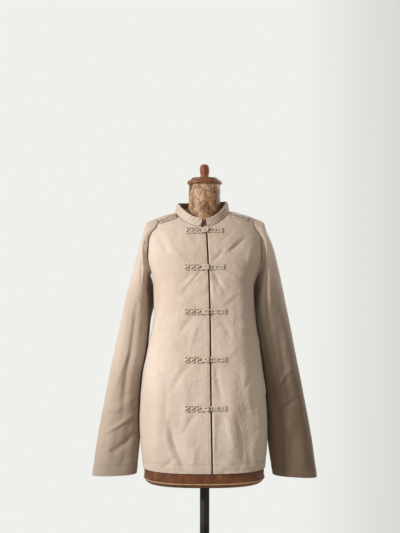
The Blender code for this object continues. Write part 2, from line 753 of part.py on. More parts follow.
def clear_scene():
    for obj in list(bpy.data.objects):
        bpy.data.objects.remove(obj, do_unlink=True)
    collection = bpy.data.collections.new(NAME)
    bpy.context.scene.collection.children.link(collection)


def build_shirt():
    sides = {-1: "left", 1: "right"}
    shell("back", back_panel(), make_material("back_cloth", "cloth"))
    for side, word in sides.items():
        shell(f"front_{word}", front_panel(side), make_material(f"front_{word}_cloth", "cloth"))
        shell(f"sleeve_{word}", sleeve(side), make_material(f"sleeve_{word}_cloth", "cloth"),
              closed=True)
    shell("collar", collar(), make_material("collar_cloth", "cloth"))
    for number, frog in enumerate(FROGS, 1):
        frog_half(f"frog_{number}_knot", frog.left, frog.knot, frog.z, frog.knot - frog.left,
                  make_material(f"frog_{number}_knot_braid", "braid"))
        frog_half(f"frog_{number}_loop", frog.right, frog.loop, frog.z, 0,
                  make_material(f"frog_{number}_loop_braid", "braid"))
    for strip in STRIPS:
        word = sides[strip.side]
        shoulder_strip(f"shoulder_strip_{word}", strip,
                       make_material(f"shoulder_strip_{word}_braid", "braid"))


def build_stand():
    dress_form(make_material("form_cover", "cover"))
    turned("neck_cap", CAP_PROFILE, make_material("neck_cap_wood", "wood"))
    turned("finial", FINIAL_PROFILE, make_material("finial_wood", "wood"))
    turned("pole", POLE_PROFILE, make_material("pole_metal", "metal"))
    turned("base", BASE_PROFILE, make_material("base_metal", "metal"))


clear_scene()
build_shirt()
build_stand()
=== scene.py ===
"""Mandarin collar shirt with five frog closures on a limbless dress form, for the studio.

The shirt's sheets are worked out on the same named sizes as the solids they stand for, in
millimetres, and turned to metres when a mesh is made. +Z is up and -Y is the shirt's front.
"""

import logging
import math
from dataclasses import dataclass, field
from enum import Enum

import bmesh
import bpy
import numpy as np
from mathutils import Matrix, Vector, noise


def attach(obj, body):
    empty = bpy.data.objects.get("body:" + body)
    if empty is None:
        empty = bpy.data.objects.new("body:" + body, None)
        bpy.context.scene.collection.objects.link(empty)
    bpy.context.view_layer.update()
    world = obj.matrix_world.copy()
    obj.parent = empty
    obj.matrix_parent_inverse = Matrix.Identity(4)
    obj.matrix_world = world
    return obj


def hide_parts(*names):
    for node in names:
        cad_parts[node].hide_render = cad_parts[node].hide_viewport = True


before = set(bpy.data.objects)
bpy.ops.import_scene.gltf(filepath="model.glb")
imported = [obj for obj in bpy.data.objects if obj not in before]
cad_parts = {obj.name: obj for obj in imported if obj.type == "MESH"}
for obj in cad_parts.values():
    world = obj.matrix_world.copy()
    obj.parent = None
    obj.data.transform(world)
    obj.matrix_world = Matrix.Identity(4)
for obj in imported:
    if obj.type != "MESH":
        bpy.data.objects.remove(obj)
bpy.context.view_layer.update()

log = logging.getLogger("shirt")

MM = 0.001
WALL = 1.6                    # mm, the cloth's wall
SEAM = 0.3                    # mm between two sewn edges
ROLL_WIDTH = 2.6              # mm over which a sewn edge rolls in
SEAM_WIDTH = 1.5              # mm, half width of the darker line along a seam
TURNING_LINE = 1.6            # mm, half width of the dent where a turning is stitched down
FOLD_FADE = 0.7               # how a fold dies out at its ends; less is more sudden
NO_STITCH = 9.0               # mm, a distance at which no stitch shows
SIDE_FADE = 22.0              # degrees from a side seam over which folds die out
NUDGE = 0.6                   # degrees or mm between two points that give a slope
WAVE_STRETCH = 0.55           # loose waves run longer downward than across
BODY_WAVES = ((0.9, 3.1, 55.0), (0.45, 8.4, 24.0))   # rise and length in mm, with a seed between
Points = np.ndarray


class Face(Enum):
    """The two faces of the shirt's body."""

    FRONT = "front"
    BACK = "back"


class Panel(Enum):
    """The three sheets of the shirt's body. Each value is the name of its node."""

    LEFT = "front_left"
    RIGHT = "front_right"
    BACK = "back"


class Lamp(Enum):
    """Kinds of studio light: an even soft box, and one that fades round its middle."""

    SOFT_BOX = "AREA"
    FADING = "SPOT"


class Curve:
    """Smooth monotone cubic through points given in rising order of the first value."""

    def __init__(self, xs: list[float], ys: list[float]) -> None:
        """Work out the slopes.

        Args:
            xs: places, rising.
            ys: values there.
        """
        self.xs = np.asarray(xs, float)
        self.ys = np.asarray(ys, float)
        step = np.diff(self.xs)
        slope = np.diff(self.ys) / step
        self.slopes = np.zeros(len(self.xs))
        for i in range(1, len(self.xs) - 1):
            if slope[i - 1] * slope[i] > 0:
                near, far = 2 * step[i] + step[i - 1], step[i] + 2 * step[i - 1]
                self.slopes[i] = (near + far) / (near / slope[i - 1] + far / slope[i])
        self.slopes[0], self.slopes[-1] = slope[0], slope[-1]

    def __call__(self, x: Points) -> Points:
        """Values of the curve.

        Args:
            x: places, held inside the table.

        Returns:
            One value for each place.
        """
        x = np.clip(x, self.xs[0], self.xs[-1])
        i = np.clip(np.searchsorted(self.xs, x, side="right") - 1, 0, len(self.xs) - 2)
        step = self.xs[i + 1] - self.xs[i]
        t = (x - self.xs[i]) / step
        return (self.ys[i] * (1 + 2 * t) * (1 - t) ** 2 + self.slopes[i] * step * t * (1 - t) ** 2
                + self.ys[i + 1] * t * t * (3 - 2 * t)
                + self.slopes[i + 1] * step * t * t * (t - 1))


def curves(names: str, table: list[tuple]) -> dict[str, Curve]:
    """One curve for each column after the first.

    Args:
        names: the columns' names, the first being the place.
        table: rows of numbers.

    Returns:
        Curve by column name.
    """
    keys = [row[0] for row in table]
    return {name: Curve(keys, [row[i + 1] for row in table])
            for i, name in enumerate(names.split()[1:])}


def lerp(a: Points, b: Points, t: Points) -> Points:
    """Straight mix from a to b."""
    return a + (b - a) * t


def unit(vectors: Points) -> Points:
    """Vectors of length one, along the last axis."""
    return vectors / np.maximum(np.linalg.norm(vectors, axis=-1, keepdims=True), 1e-9)


# the body's half widths and depths by height, in mm; power is how boxy its section is
BODY = curves("z left right front back power", [
    (690, 153.0, 150.5, 101, 102, 2.6), (735, 154.0, 151.5, 102, 103, 2.6),
    (796, 160.0, 156.5, 104, 107, 2.6), (856, 161.5, 155.5, 103, 107, 2.6),
    (926, 157.5, 150.0, 101, 103, 2.6), (999, 146.5, 141.5, 97, 96, 2.7),
    (1056, 136.0, 132.5, 94, 91, 2.8), (1114, 127.0, 124.0, 94, 89, 2.8),
    (1181, 128.0, 121.5, 96, 93, 2.8), (1211, 132.5, 132.0, 96, 96, 2.7),
    (1258, 146.0, 146.0, 92, 97, 2.6), (1297, 145.5, 146.0, 84, 93, 2.5),
    (1315, 139.0, 140.0, 75, 89, 2.4), (1326, 131.0, 134.5, 66, 85, 2.3),
    (1340, 123.0, 127.0, 55, 79, 2.3), (1351, 117.0, 121.0, 42, 72, 2.3),
    (1359, 94.0, 100.0, 33, 65.5, 2.3), (1364.5, 74.0, 79.0, 25, 60, 2.2),
    (1369, 62.0, 60.5, 14, 56, 2.2), (1376, 50.0, 46.0, 6, 50, 2.2),
])
# how far the form lies inside the shirt
EASE = curves("z side depth", [
    (690, 3.0, 4.5), (737, 4.0, 5.0), (796, 8.0, 8.0), (926, 11.0, 9.0), (1056, 12.5, 9.0),
    (1146, 10.0, 7.5), (1211, 7.0, 6.5), (1229, 10.5, 6.0), (1258, 15.0, 5.5),
    (1297, 14.0, 4.5), (1326, 3.0, 2.0), (1340, 1.2, 1.6), (1376, 1.2, 1.8),
])
# the form's neck
NECK = curves("z radius", [
    (690, 20), (1300, 30), (1335, 45), (1350, 44), (1368, 41.5), (1390, 39.4), (1434.7, 38.8),
])["radius"]
# the slit between the fronts, which leans
SLIT = curves("z x", [
    (690, 18.5), (737, 17.8), (805, 16.6), (939, 14.3), (1054, 13.4), (1177, 10.8),
    (1258, 7.2), (1310, 4.2), (1328, -2.0),
])["x"]
# each sleeve by its share of the length: outer and inner edge, depths, share of the armhole's own
# shape, and how boxy its section is
ARM_COLUMNS = "along outer_z outer_x inner_z inner_x front back armhole power"
SLEEVES = {
    -1: curves(ARM_COLUMNS, [
        (0.000, 1351, 117.0, 1207, 131.0, 38, 40, 1.00, 2.0),
        (0.012, 1348.5, 124.5, 1211, 132.6, 39, 41, 0.93, 2.0),
        (0.030, 1344.5, 134.5, 1211.5, 136.3, 41, 43, 0.78, 2.0),
        (0.060, 1338, 145.0, 1206, 139.8, 43, 45, 0.58, 2.0),
        (0.100, 1319, 152.0, 1195, 142.0, 45, 48, 0.36, 2.1),
        (0.160, 1285, 163.0, 1176, 143.5, 42, 54, 0.15, 2.1),
        (0.260, 1216, 181.0, 1141, 140.0, 38, 64, 0.00, 2.2),
        (0.380, 1131, 203.0, 1096, 138.5, 34, 64, 0.00, 2.2),
        (0.500, 1042, 222.3, 1030, 143.0, 31, 60, 0.00, 2.3),
        (0.620, 960, 240.0, 957, 156.2, 29, 55, 0.00, 2.3),
        (0.740, 879, 255.0, 880, 162.4, 26, 49, 0.00, 2.4),
        (0.860, 800, 269.8, 802, 162.9, 24, 40, 0.00, 2.4),
        (1.000, 708, 281.8, 713, 169.8, 20, 31, 0.00, 2.4),
    ]),
    1: curves(ARM_COLUMNS, [
        (0.000, 1351, 121.0, 1207, 131.0, 38, 40, 1.00, 2.0),
        (0.012, 1348.5, 128.5, 1211, 132.4, 39, 41, 0.93, 2.0),
        (0.030, 1344.5, 138.5, 1211.5, 135.3, 41, 43, 0.78, 2.0),
        (0.060, 1338, 148.5, 1206, 137.6, 43, 45, 0.58, 2.0),
        (0.100, 1319, 154.5, 1195, 138.6, 45, 48, 0.36, 2.1),
        (0.160, 1285, 169.5, 1176, 137.8, 42, 54, 0.15, 2.1),
        (0.260, 1216, 188.5, 1141, 133.5, 38, 64, 0.00, 2.2),
        (0.380, 1131, 206.5, 1096, 131.0, 34, 64, 0.00, 2.2),
        (0.500, 1042, 224.0, 1030, 139.2, 31, 60, 0.00, 2.3),
        (0.620, 960, 239.8, 957, 148.6, 29, 55, 0.00, 2.3),
        (0.740, 879, 255.5, 880, 156.2, 26, 49, 0.00, 2.4),
        (0.860, 800, 269.8, 802, 158.6, 24, 40, 0.00, 2.4),
        (1.000, 703, 281.8, 711, 170.8, 20, 31, 0.00, 2.4),
    ]),
}


@dataclass(frozen=True)
class Fold:
    """One soft trough or ridge on a face of the body.

    x0, z0 to x1, z1 is its line, rise its height outward, reach its half width and bow how far
    its middle swings sideways.
    """

    x0: float
    z0: float
    x1: float
    z1: float
    rise: float
    reach: float
    bow: float = 0.0

    def height(self, x: Points, z: Points) -> Points:
        """Height at places on the cloth.

        Args:
            x: places across.
            z: heights.

        Returns:
            How far the cloth stands out there.
        """
        run = np.array([self.x1 - self.x0, self.z1 - self.z0])
        size = float(np.hypot(*run))
        run = run / size
        t = ((x - self.x0) * run[0] + (z - self.z0) * run[1]) / size
        side = (x - self.x0) * run[1] - (z - self.z0) * run[0]
        inside = np.clip(t, 0, 1)
        away = side - self.bow * np.sin(math.pi * inside)
        reach = self.reach * lerp(1.25, 0.8, inside)
        return np.where((t > 0) & (t < 1),
                        self.rise * np.sin(math.pi * inside) ** FOLD_FADE
                        * np.exp(-(away / reach) ** 2), 0.0)


# large folds first, as in the solids, then the finer creases
FOLDS = {
    Face.FRONT: [
        Fold(106, 1318, 52, 1252, -2.6, 11), Fold(86, 1255, 84, 990, 5.0, 20),
        Fold(-112, 1318, -92, 1262, -2.4, 15), Fold(-26, 1216, -66, 1150, -3.0, 14),
        Fold(48, 1208, 29, 1138, 2.4, 15), Fold(-84, 860, -46, 745, -4.6, 15),
        Fold(-108, 1010, -118, 745, 4.6, 20), Fold(62, 985, 70, 740, 4.6, 18),
        Fold(98, 900, 108, 742, -3.8, 15),
        # chest
        Fold(108, 1304, 44, 1256, -2.2, 2.6), Fold(104, 1312, 48, 1266, 1.9, 5.0, 2),
        Fold(70, 1318, 34, 1288, -1.5, 6.0, -2), Fold(-118, 1300, -84, 1258, -2.6, 6.0, -3),
        Fold(-100, 1316, -58, 1252, 2.0, 8.0, 3), Fold(-62, 1312, -24, 1288, 1.6, 7.0),
        Fold(-128, 1270, -110, 1228, 1.8, 7.0), Fold(122, 1290, 104, 1236, 2.2, 8.0, 3),
        Fold(136, 1262, 122, 1216, -2.2, 6.0),
        # drawn from the second frog
        Fold(-6, 1222, -44, 1180, -2.2, 2.8), Fold(-12, 1210, -66, 1166, 2.4, 6.5, 3),
        Fold(-18, 1234, -60, 1262, -1.5, 5.0, 2), Fold(14, 1238, 48, 1274, -2.6, 4.4, 2),
        Fold(20, 1222, 50, 1166, -2.8, 5.0, 2), Fold(12, 1215, 26, 1140, 2.4, 5.5),
        Fold(36, 1224, 84, 1196, 1.8, 6.0, -2),
        # third frog and waist
        Fold(-20, 1115, -62, 1062, -2.2, 6.5, 4), Fold(30, 1110, 66, 1052, -1.9, 6.5, -3),
        Fold(-14, 1102, -38, 1020, 1.9, 6.5, 3), Fold(-24, 1132, -64, 1160, 1.6, 6.0, -2),
        Fold(34, 1134, 70, 1166, 1.6, 6.0, 2), Fold(-112, 1190, -106, 1060, -2.8, 8.0, 3),
        Fold(-90, 1146, -124, 1050, 2.2, 7.0, 4), Fold(112, 1166, 104, 1070, -2.4, 7.0),
        Fold(78, 1196, 82, 1010, -1.8, 8.0, 3), Fold(98, 1180, 96, 1040, 1.4, 7.0, -3),
        Fold(-120, 1090, -84, 1066, -1.6, 5.0), Fold(120, 1086, 86, 1058, -1.8, 5.0),
        # fourth frog and hip
        Fold(26, 1000, 44, 900, -2.6, 5.5, 3), Fold(-30, 1000, -80, 926, -2.2, 6.5, 5),
        Fold(-136, 1004, -104, 984, -2.4, 4.2), Fold(-132, 992, -100, 966, 1.8, 5.0),
        Fold(-52, 984, -48, 820, 1.9, 10.0, -4), Fold(44, 1014, 84, 1042, 0.9, 6.0, 2),
        Fold(94, 1012, 114, 866, 2.2, 9.0, 3), Fold(-22, 1018, -70, 1044, -1.4, 6.0, -2),
        Fold(120, 980, 96, 930, -2.0, 6.0, 2), Fold(-92, 960, -100, 840, -2.0, 7.0, -3),
        # fifth frog and hem
        Fold(-86, 858, -44, 740, -3.4, 4.2, 7), Fold(-96, 846, -60, 742, 2.4, 6.0, 6),
        Fold(-68, 776, -104, 742, -2.8, 4.4), Fold(-18, 880, -56, 822, -2.4, 5.5, 3),
        Fold(26, 905, 22, 752, 2.2, 6.0, 2), Fold(46, 884, 70, 796, 2.0, 6.0),
        Fold(72, 888, 94, 750, -2.8, 6.5, -3), Fold(40, 764, 78, 742, 2.2, 4.5),
        Fold(50, 778, 92, 752, -1.8, 4.5, 2), Fold(-140, 900, -124, 800, -2.4, 8.0, 3),
        Fold(132, 940, 138, 800, 2.4, 8.0, 3), Fold(-24, 800, -30, 738, 1.8, 7.0),
        Fold(112, 800, 126, 742, 2.0, 6.0), Fold(36, 872, 62, 838, -1.8, 4.5, -2),
    ],
    Face.BACK: [
        Fold(-70, 1250, -28, 1120, -2.8, 20), Fold(76, 1240, 40, 1130, -3.0, 19),
        Fold(52, 1000, 66, 742, 5.4, 22), Fold(-36, 985, -44, 742, -4.6, 20),
        Fold(-104, 960, -112, 742, 4.8, 20), Fold(6, 1160, 12, 1000, 4.0, 22),
        Fold(-104, 1300, -56, 1236, -2.8, 5.5, 4), Fold(106, 1302, 64, 1244, -2.6, 6.0, -4),
        Fold(-30, 1330, 26, 1322, -1.6, 6.0, 3), Fold(-88, 1166, -30, 1092, -2.6, 6.0, 5),
        Fold(92, 1156, 44, 1080, 2.5, 6.5, 4), Fold(22, 1136, -24, 1040, -2.3, 7.0, 6),
        Fold(-70, 1046, -62, 900, 2.6, 7.0, 3), Fold(34, 946, 26, 756, -2.8, 7.0, -4),
        Fold(98, 936, 108, 756, 2.6, 7.0, 3), Fold(-8, 906, -14, 746, 2.4, 6.5, 4),
        Fold(-128, 1014, -110, 926, -2.6, 7.0), Fold(126, 1004, 112, 896, -2.6, 7.0),
        Fold(-92, 836, -68, 744, -2.8, 5.5, 3), Fold(72, 818, 90, 744, -2.4, 5.5, 3),
        Fold(-46, 1290, 0, 1226, 1.8, 8.0, 5), Fold(52, 1286, 18, 1200, 1.6, 8.0, -4),
        Fold(-108, 1120, -76, 1030, 2.0, 7.0, -4), Fold(112, 1110, 84, 1020, -2.0, 7.0, 4),
        Fold(-20, 1040, 24, 996, -1.8, 6.0, 3), Fold(60, 1060, 88, 940, -2.0, 7.0, 3),
    ],
}


def section(angle: Points, half: Points, depth: Points, power: Points) -> tuple[Points, Points]:
    """Point of a rounded-box section seen from its centre at the angle.

    Args:
        angle: degrees from the front.
        half: half width.
        depth: half depth.
        power: 2 is an ellipse, more is boxier.

    Returns:
        x and y.
    """
    x, y = np.sin(np.radians(angle)), -np.cos(np.radians(angle))
    size = (np.abs(x) ** power + np.abs(y) ** power) ** (1 / power)
    return half * x / size, depth * y / size


def base_point(angle: Points, z: Points) -> Points:
    """Points of the body surface before its folds.

    Args:
        angle: degrees round the body from the front, rising toward +X.
        z: heights.

    Returns:
        Points in millimetres.
    """
    turn = (angle + 180) % 360 - 180
    half = np.where(turn < 0, BODY["left"](z), BODY["right"](z))
    depth = np.where(np.abs(turn) <= 90, BODY["front"](z), BODY["back"](z))
    x, y = section(angle, half, depth, BODY["power"](z))
    return np.stack([x, y, z + 0 * x], axis=-1)


def base_normal(angle: Points, z: Points) -> Points:
    """Outward normals of the body surface before its folds.

    Args:
        angle: degrees round the body.
        z: heights.

    Returns:
        Vectors of length one.
    """
    across = base_point(angle + NUDGE, z) - base_point(angle - NUDGE, z)
    up = base_point(angle, z + NUDGE) - base_point(angle, z - NUDGE)
    return unit(np.cross(across, up))


def ripple(points: Points, seed: float, size: float) -> Points:
    """Even small waves of loose cloth, -1 to 1.

    Args:
        points: places in millimetres.
        seed: moves the pattern.
        size: length of a wave in millimetres.

    Returns:
        One value for each point.
    """
    flat = points.reshape(-1, 3) / size
    values = [noise.noise(Vector((p[0] + seed, p[1], p[2] * WAVE_STRETCH))) for p in flat]
    return np.array(values).reshape(points.shape[:-1])


def cloth_point(angle: Points, z: Points) -> Points:
    """Points of the shirt body's outer face, with its folds.

    Args:
        angle: degrees round the body.
        z: heights.

    Returns:
        Points in millimetres.
    """
    base = base_point(angle, z)
    turn = np.abs((angle + 180) % 360 - 180)
    rise = np.zeros(turn.shape)
    for face, folds in FOLDS.items():
        on_face = (turn <= 90) == (face is Face.FRONT)
        total = sum(fold.height(base[..., 0], base[..., 2]) for fold in folds)
        rise = np.where(on_face, total, rise)
    fade = np.minimum(1, np.abs(turn - 90) / SIDE_FADE)
    rise = rise * fade * fade * (3 - 2 * fade)
    waves = sum(height * ripple(base, seed, size) for height, seed, size in BODY_WAVES)
    calm = np.clip((1345 - base[..., 2]) / 60, 0.15, 1)   # the shoulders lie smooth on the form
    return base + base_normal(angle, z) * (rise + waves * calm)[..., None]


def angle_at_x(x: Points, z: Points) -> Points:
    """Angle on the front at which the body reaches x.

    Args:
        x: places across.
        z: heights.

    Returns:
        Degrees round the body.
    """
    half = np.where(x < 0, BODY["left"](z), BODY["right"](z))
    power = BODY["power"](z)
    across = np.minimum(np.abs(x) / half, 0.999)
    forward = (1 - across ** power) ** (1 / power)
    return np.copysign(np.degrees(np.arctan2(across, forward)), x)


def on_front(x: Points, z: Points, lift: Points) -> Points:
    """Points above the front, where cords are sewn on.

    Args:
        x: places across.
        z: heights.
        lift: distances off the cloth.

    Returns:
        Points in millimetres.
    """
    angle = angle_at_x(x, z)
    return cloth_point(angle, z) + base_normal(angle, z) * np.asarray(lift)[..., None]


@dataclass
class Armhole:
    """Seam between the body and a sleeve."""

    top: float = 1351.0
    bottom: float = 1207.0
    front: float = 38.0
    back: float = 40.0
    fullness: float = 0.8

    def angle(self, side: int, turn: Points, face: Face) -> tuple[Points, Points]:
        """Angle and height of the seam.

        Args:
            side: -1 or 1.
            turn: 0 at the shoulder to 180 at the underarm.
            face: front or back.

        Returns:
            Angles round the body and heights.
        """
        z = (self.top + self.bottom) / 2 + (self.top - self.bottom) / 2 * np.cos(np.radians(turn))
        reach = self.front if face is Face.FRONT else self.back
        y = reach * np.maximum(0, np.sin(np.radians(turn))) ** self.fullness
        forward = y / BODY[face.value](z)
        power = BODY["power"](z)
        across = (1 - forward ** power) ** (1 / power)
        from_front = np.degrees(np.arctan2(across, forward))
        return side * (from_front if face is Face.FRONT else 180 - from_front), z

    def points(self, side: int, turns: Points) -> Points:
        """Points of the seam.

        Args:
            side: -1 or 1.
            turns: degrees from the shoulder over the front, and back up behind.

        Returns:
            Points in millimetres.
        """
        front = base_point(*self.angle(side, np.minimum(turns, 180), Face.FRONT))
        back = base_point(*self.angle(side, np.clip(360 - turns, 0, 180), Face.BACK))
        return np.where((turns <= 180)[:, None], front, back)


ARMHOLE = Armhole()


def hex_colour(code: str) -> tuple[float, float, float, float]:
    """Colour of a hex code.

    Args:
        code: six sRGB hex digits.

    Returns:
        Linear red, green, blue and 1.
    """
    parts = [int(code[i:i + 2], 16) / 255 for i in (0, 2, 4)]
    linear = [v / 12.92 if v <= 0.04045 else ((v + 0.055) / 1.055) ** 2.4 for v in parts]
    return (*linear, 1.0)


def add_node(material: bpy.types.ID, kind: str, settings: dict | None = None,
             links: dict | None = None) -> bpy.types.Node:
    """Add a shader node.

    Args:
        material: its material, or a world.
        kind: node type without the ShaderNode prefix.
        settings: attribute names, or input names or numbers, with their values; stops are a
            colour ramp's places and hex codes.
        links: input names or numbers with the output sockets that feed them.

    Returns:
        The node.
    """
    tree = material.node_tree
    node = tree.nodes.new("ShaderNode" + kind)
    for key, value in (settings or {}).items():
        if key == "stops":
            elements = node.color_ramp.elements
            for _ in value[len(elements):]:
                elements.new(0.5)
            for element, (spot, code) in zip(elements, value):
                element.position, element.color = spot, hex_colour(code)
        elif isinstance(key, str) and hasattr(node, key):
            setattr(node, key, value)
        else:
            node.inputs[key].default_value = value
    for key, socket in (links or {}).items():
        tree.links.new(socket, node.inputs[key])
    return node


def new_material(name: str, settings: dict) -> tuple[bpy.types.Material, bpy.types.Node]:
    """Material with its Principled shader set.

    Args:
        name: material name.
        settings: shader inputs.

    Returns:
        The material and its shader node.
    """
    material = bpy.data.materials.new(name)
    material.use_nodes = True
    shader = material.node_tree.nodes["Principled BSDF"]
    for key, value in settings.items():
        shader.inputs[key].default_value = value
    return material, shader


@dataclass(frozen=True)
class TwillCloth:
    """Midweight cotton twill, woven and washed.

    It looks matt, with a soft nap at glancing light, a faint diagonal rib, uneven yarn, small
    rubbed creases and rows of machine stitches at the turnings, darkened with painted shade in
    their grooves. Its seams are browned, partly with dirt, partly with painted shade, and painted
    shade browns it down the sleeves, under the shoulder strips and inside the collar.
    """

    name: str
    light: str = "CEBCAD"
    mid: str = "C6B3A2"
    dark: str = "BAA592"
    seam_dirt_and_shade: str = "5F4930"   # partly dirt, partly painted shade at seams; painted shade down the sleeves
    # painted shade in the grooves of the rows of stitches
    stitch_shade: str = "7A644E"
    slant: float = 58.0       # degrees
    rib: float = 1.6          # mm; the real 0.5 mm rib is too fine to show at this picture's size
    yarn: float = 420.0       # a metre: slubs of about 2.4 mm, drawn coarser than real ones
    cloud: float = 6.0        # a metre: broad paler and darker areas of a washed cloth
    crumple: float = 26.0     # a metre: rubbed creases about 40 mm apart
    stitch: float = 3.2       # mm, length of one stitch and its gap
    stitch_half: float = 0.7  # mm; the real 0.3 mm thread is too fine to show
    sewn: float = 0.12        # how much painted shade darkens the rows of stitches

    def build(self) -> bpy.types.Material:
        """Make the material, which reads the cloth's own UV map in metres.

        Returns:
            The material.
        """
        # cotton fibre: IOR 1.47, no clear highlight, and a sheen for its nap
        material, shader = new_material(self.name, {
            "Roughness": 0.82, "IOR": 1.47, "Sheen Weight": 0.25, "Sheen Roughness": 0.45,
            "Specular IOR Level": 0.3})
        place = add_node(material, "TexCoord")
        turn = add_node(material, "Mapping", {"Rotation": (0, 0, math.radians(self.slant))},
                        {0: place.outputs["UV"]})
        # a wave texture draws about 3.2 bands a unit
        rib = add_node(material, "TexWave", {"Scale": 1 / (self.rib * MM) / 3.2,
                                             "Distortion": 1.4, "Detail": 2.0},
                       {0: turn.outputs[0]})
        cloud = add_node(material, "TexNoise", {"Scale": self.cloud, "Detail": 3.0,
                                                "Roughness": 0.5}, {0: place.outputs["Object"]})
        slub = add_node(material, "TexNoise", {"Scale": self.yarn, "Detail": 3.0},
                        {0: place.outputs["UV"]})
        tone = add_node(material, "Math", {"operation": "MULTIPLY_ADD", 1: 0.35},
                        {0: slub.outputs[0], 2: cloud.outputs[0]})
        colour = add_node(material, "ValToRGB", {"stops": [
            (0.42, self.dark), (0.62, self.mid), (0.85, self.light)]}, {0: tone.outputs[0]})
        # the seam attribute: partly dirt, partly painted shade at seams, and painted shade down the
        # sleeves, under the shoulder strips and inside the collar
        seam = add_node(material, "Attribute", {"attribute_name": "seam"})
        shade = add_node(material, "Mix", {"data_type": "RGBA", 7: hex_colour(self.seam_dirt_and_shade)},
                         {0: seam.outputs["Fac"], 6: colour.outputs[0]})
        # painted shade along the rows of stitches
        stitch = self.stitching(material)
        sunk = add_node(material, "Math", {"operation": "MULTIPLY", 1: self.sewn}, {0: stitch})
        sewn = add_node(material, "Mix", {"data_type": "RGBA", 7: hex_colour(self.stitch_shade)},
                        {0: sunk.outputs[0], 6: shade.outputs[2]})
        tree = material.node_tree
        tree.links.new(sewn.outputs[2], shader.inputs["Base Color"])
        fuzz = add_node(material, "Math", {"operation": "MULTIPLY_ADD", 1: 0.5},
                        {0: slub.outputs[0], 2: rib.outputs["Fac"]})
        crumple = add_node(material, "TexNoise", {"Scale": self.crumple, "Detail": 5.0,
                                                  "Roughness": 0.55, "Distortion": 0.6},
                           {0: place.outputs["Object"]})
        loose = add_node(material, "Bump", {"Strength": 0.62, "Distance": 0.007},
                         {"Height": crumple.outputs[0]})
        bump = add_node(material, "Bump", {"Strength": 0.22, "Distance": 0.0004},
                        {"Height": fuzz.outputs[0], "Normal": loose.outputs[0]})
        both = add_node(material, "Bump", {"Strength": 0.9, "Distance": 0.0009},
                        {"Height": stitch, "Normal": bump.outputs[0]})
        tree.links.new(both.outputs[0], shader.inputs["Normal"])
        return material

    def stitching(self, material: bpy.types.Material) -> bpy.types.NodeSocket:
        """Rows of machine stitches where the attribute stitch crosses 0.

        Args:
            material: the cloth.

        Returns:
            Height socket of the stitches.
        """
        row = add_node(material, "Attribute", {"attribute_name": "stitch"})
        off = add_node(material, "Math", {"operation": "ABSOLUTE"}, {0: row.outputs["Fac"]})
        line = add_node(material, "Math", {"operation": "LESS_THAN", 1: self.stitch_half},
                        {0: off.outputs[0]})
        run = add_node(material, "Attribute", {"attribute_name": "run"})
        part = add_node(material, "Math", {"operation": "PINGPONG", 1: self.stitch},
                        {0: run.outputs["Fac"]})
        dash = add_node(material, "Math", {"operation": "GREATER_THAN", 1: self.stitch * 0.3},
                        {0: part.outputs[0]})
        both = add_node(material, "Math", {"operation": "MULTIPLY"},
                        {0: line.outputs[0], 1: dash.outputs[0]})
        return both.outputs[0]


@dataclass(frozen=True)
class CordCotton:
    """Rolled bias cord of the same cotton, wound tight.

    It has a pale colour of its own, a little paler than the cloth, with painted light on its
    ridges and painted shade between them.
    """

    name: str
    # the cord's own pale colour, with painted light on the ridges and painted shade between them
    light: str = "E0D0BE"
    dark: str = "8A725A"
    wind: float = 160.0       # ridges about 2 mm apart; real ones are nearer 1 mm and wouldn't show
    grime: float = 260.0      # a metre: dust in the ridges, in spots of about 4 mm

    def build(self) -> bpy.types.Material:
        """Make the material.

        Returns:
            The material.
        """
        # the same cotton fibre, pressed smoother by rolling
        material, shader = new_material(self.name, {
            "Roughness": 0.7, "IOR": 1.47, "Sheen Weight": 0.3, "Specular IOR Level": 0.35})
        place = add_node(material, "TexCoord")
        wind = add_node(material, "TexWave", {"Scale": self.wind, "bands_direction": "DIAGONAL",
                                              "Distortion": 2.0}, {0: place.outputs["Object"]})
        grime = add_node(material, "TexNoise", {"Scale": self.grime, "Detail": 3.0},
                         {0: place.outputs["Object"]})
        tone = add_node(material, "Math", {"operation": "MULTIPLY_ADD", 1: 0.45},
                        {0: wind.outputs["Fac"], 2: grime.outputs[0]})
        # painted light and shade along the ridges of the winding
        colour = add_node(material, "ValToRGB", {"stops": [(0.4, self.dark), (0.85, self.light)]},
                          {0: tone.outputs[0]})
        tree = material.node_tree
        tree.links.new(colour.outputs[0], shader.inputs["Base Color"])
        bump = add_node(material, "Bump", {"Strength": 0.5, "Distance": 0.0005},
                        {"Height": wind.outputs["Fac"]})
        tree.links.new(bump.outputs[0], shader.inputs["Normal"])
        return material


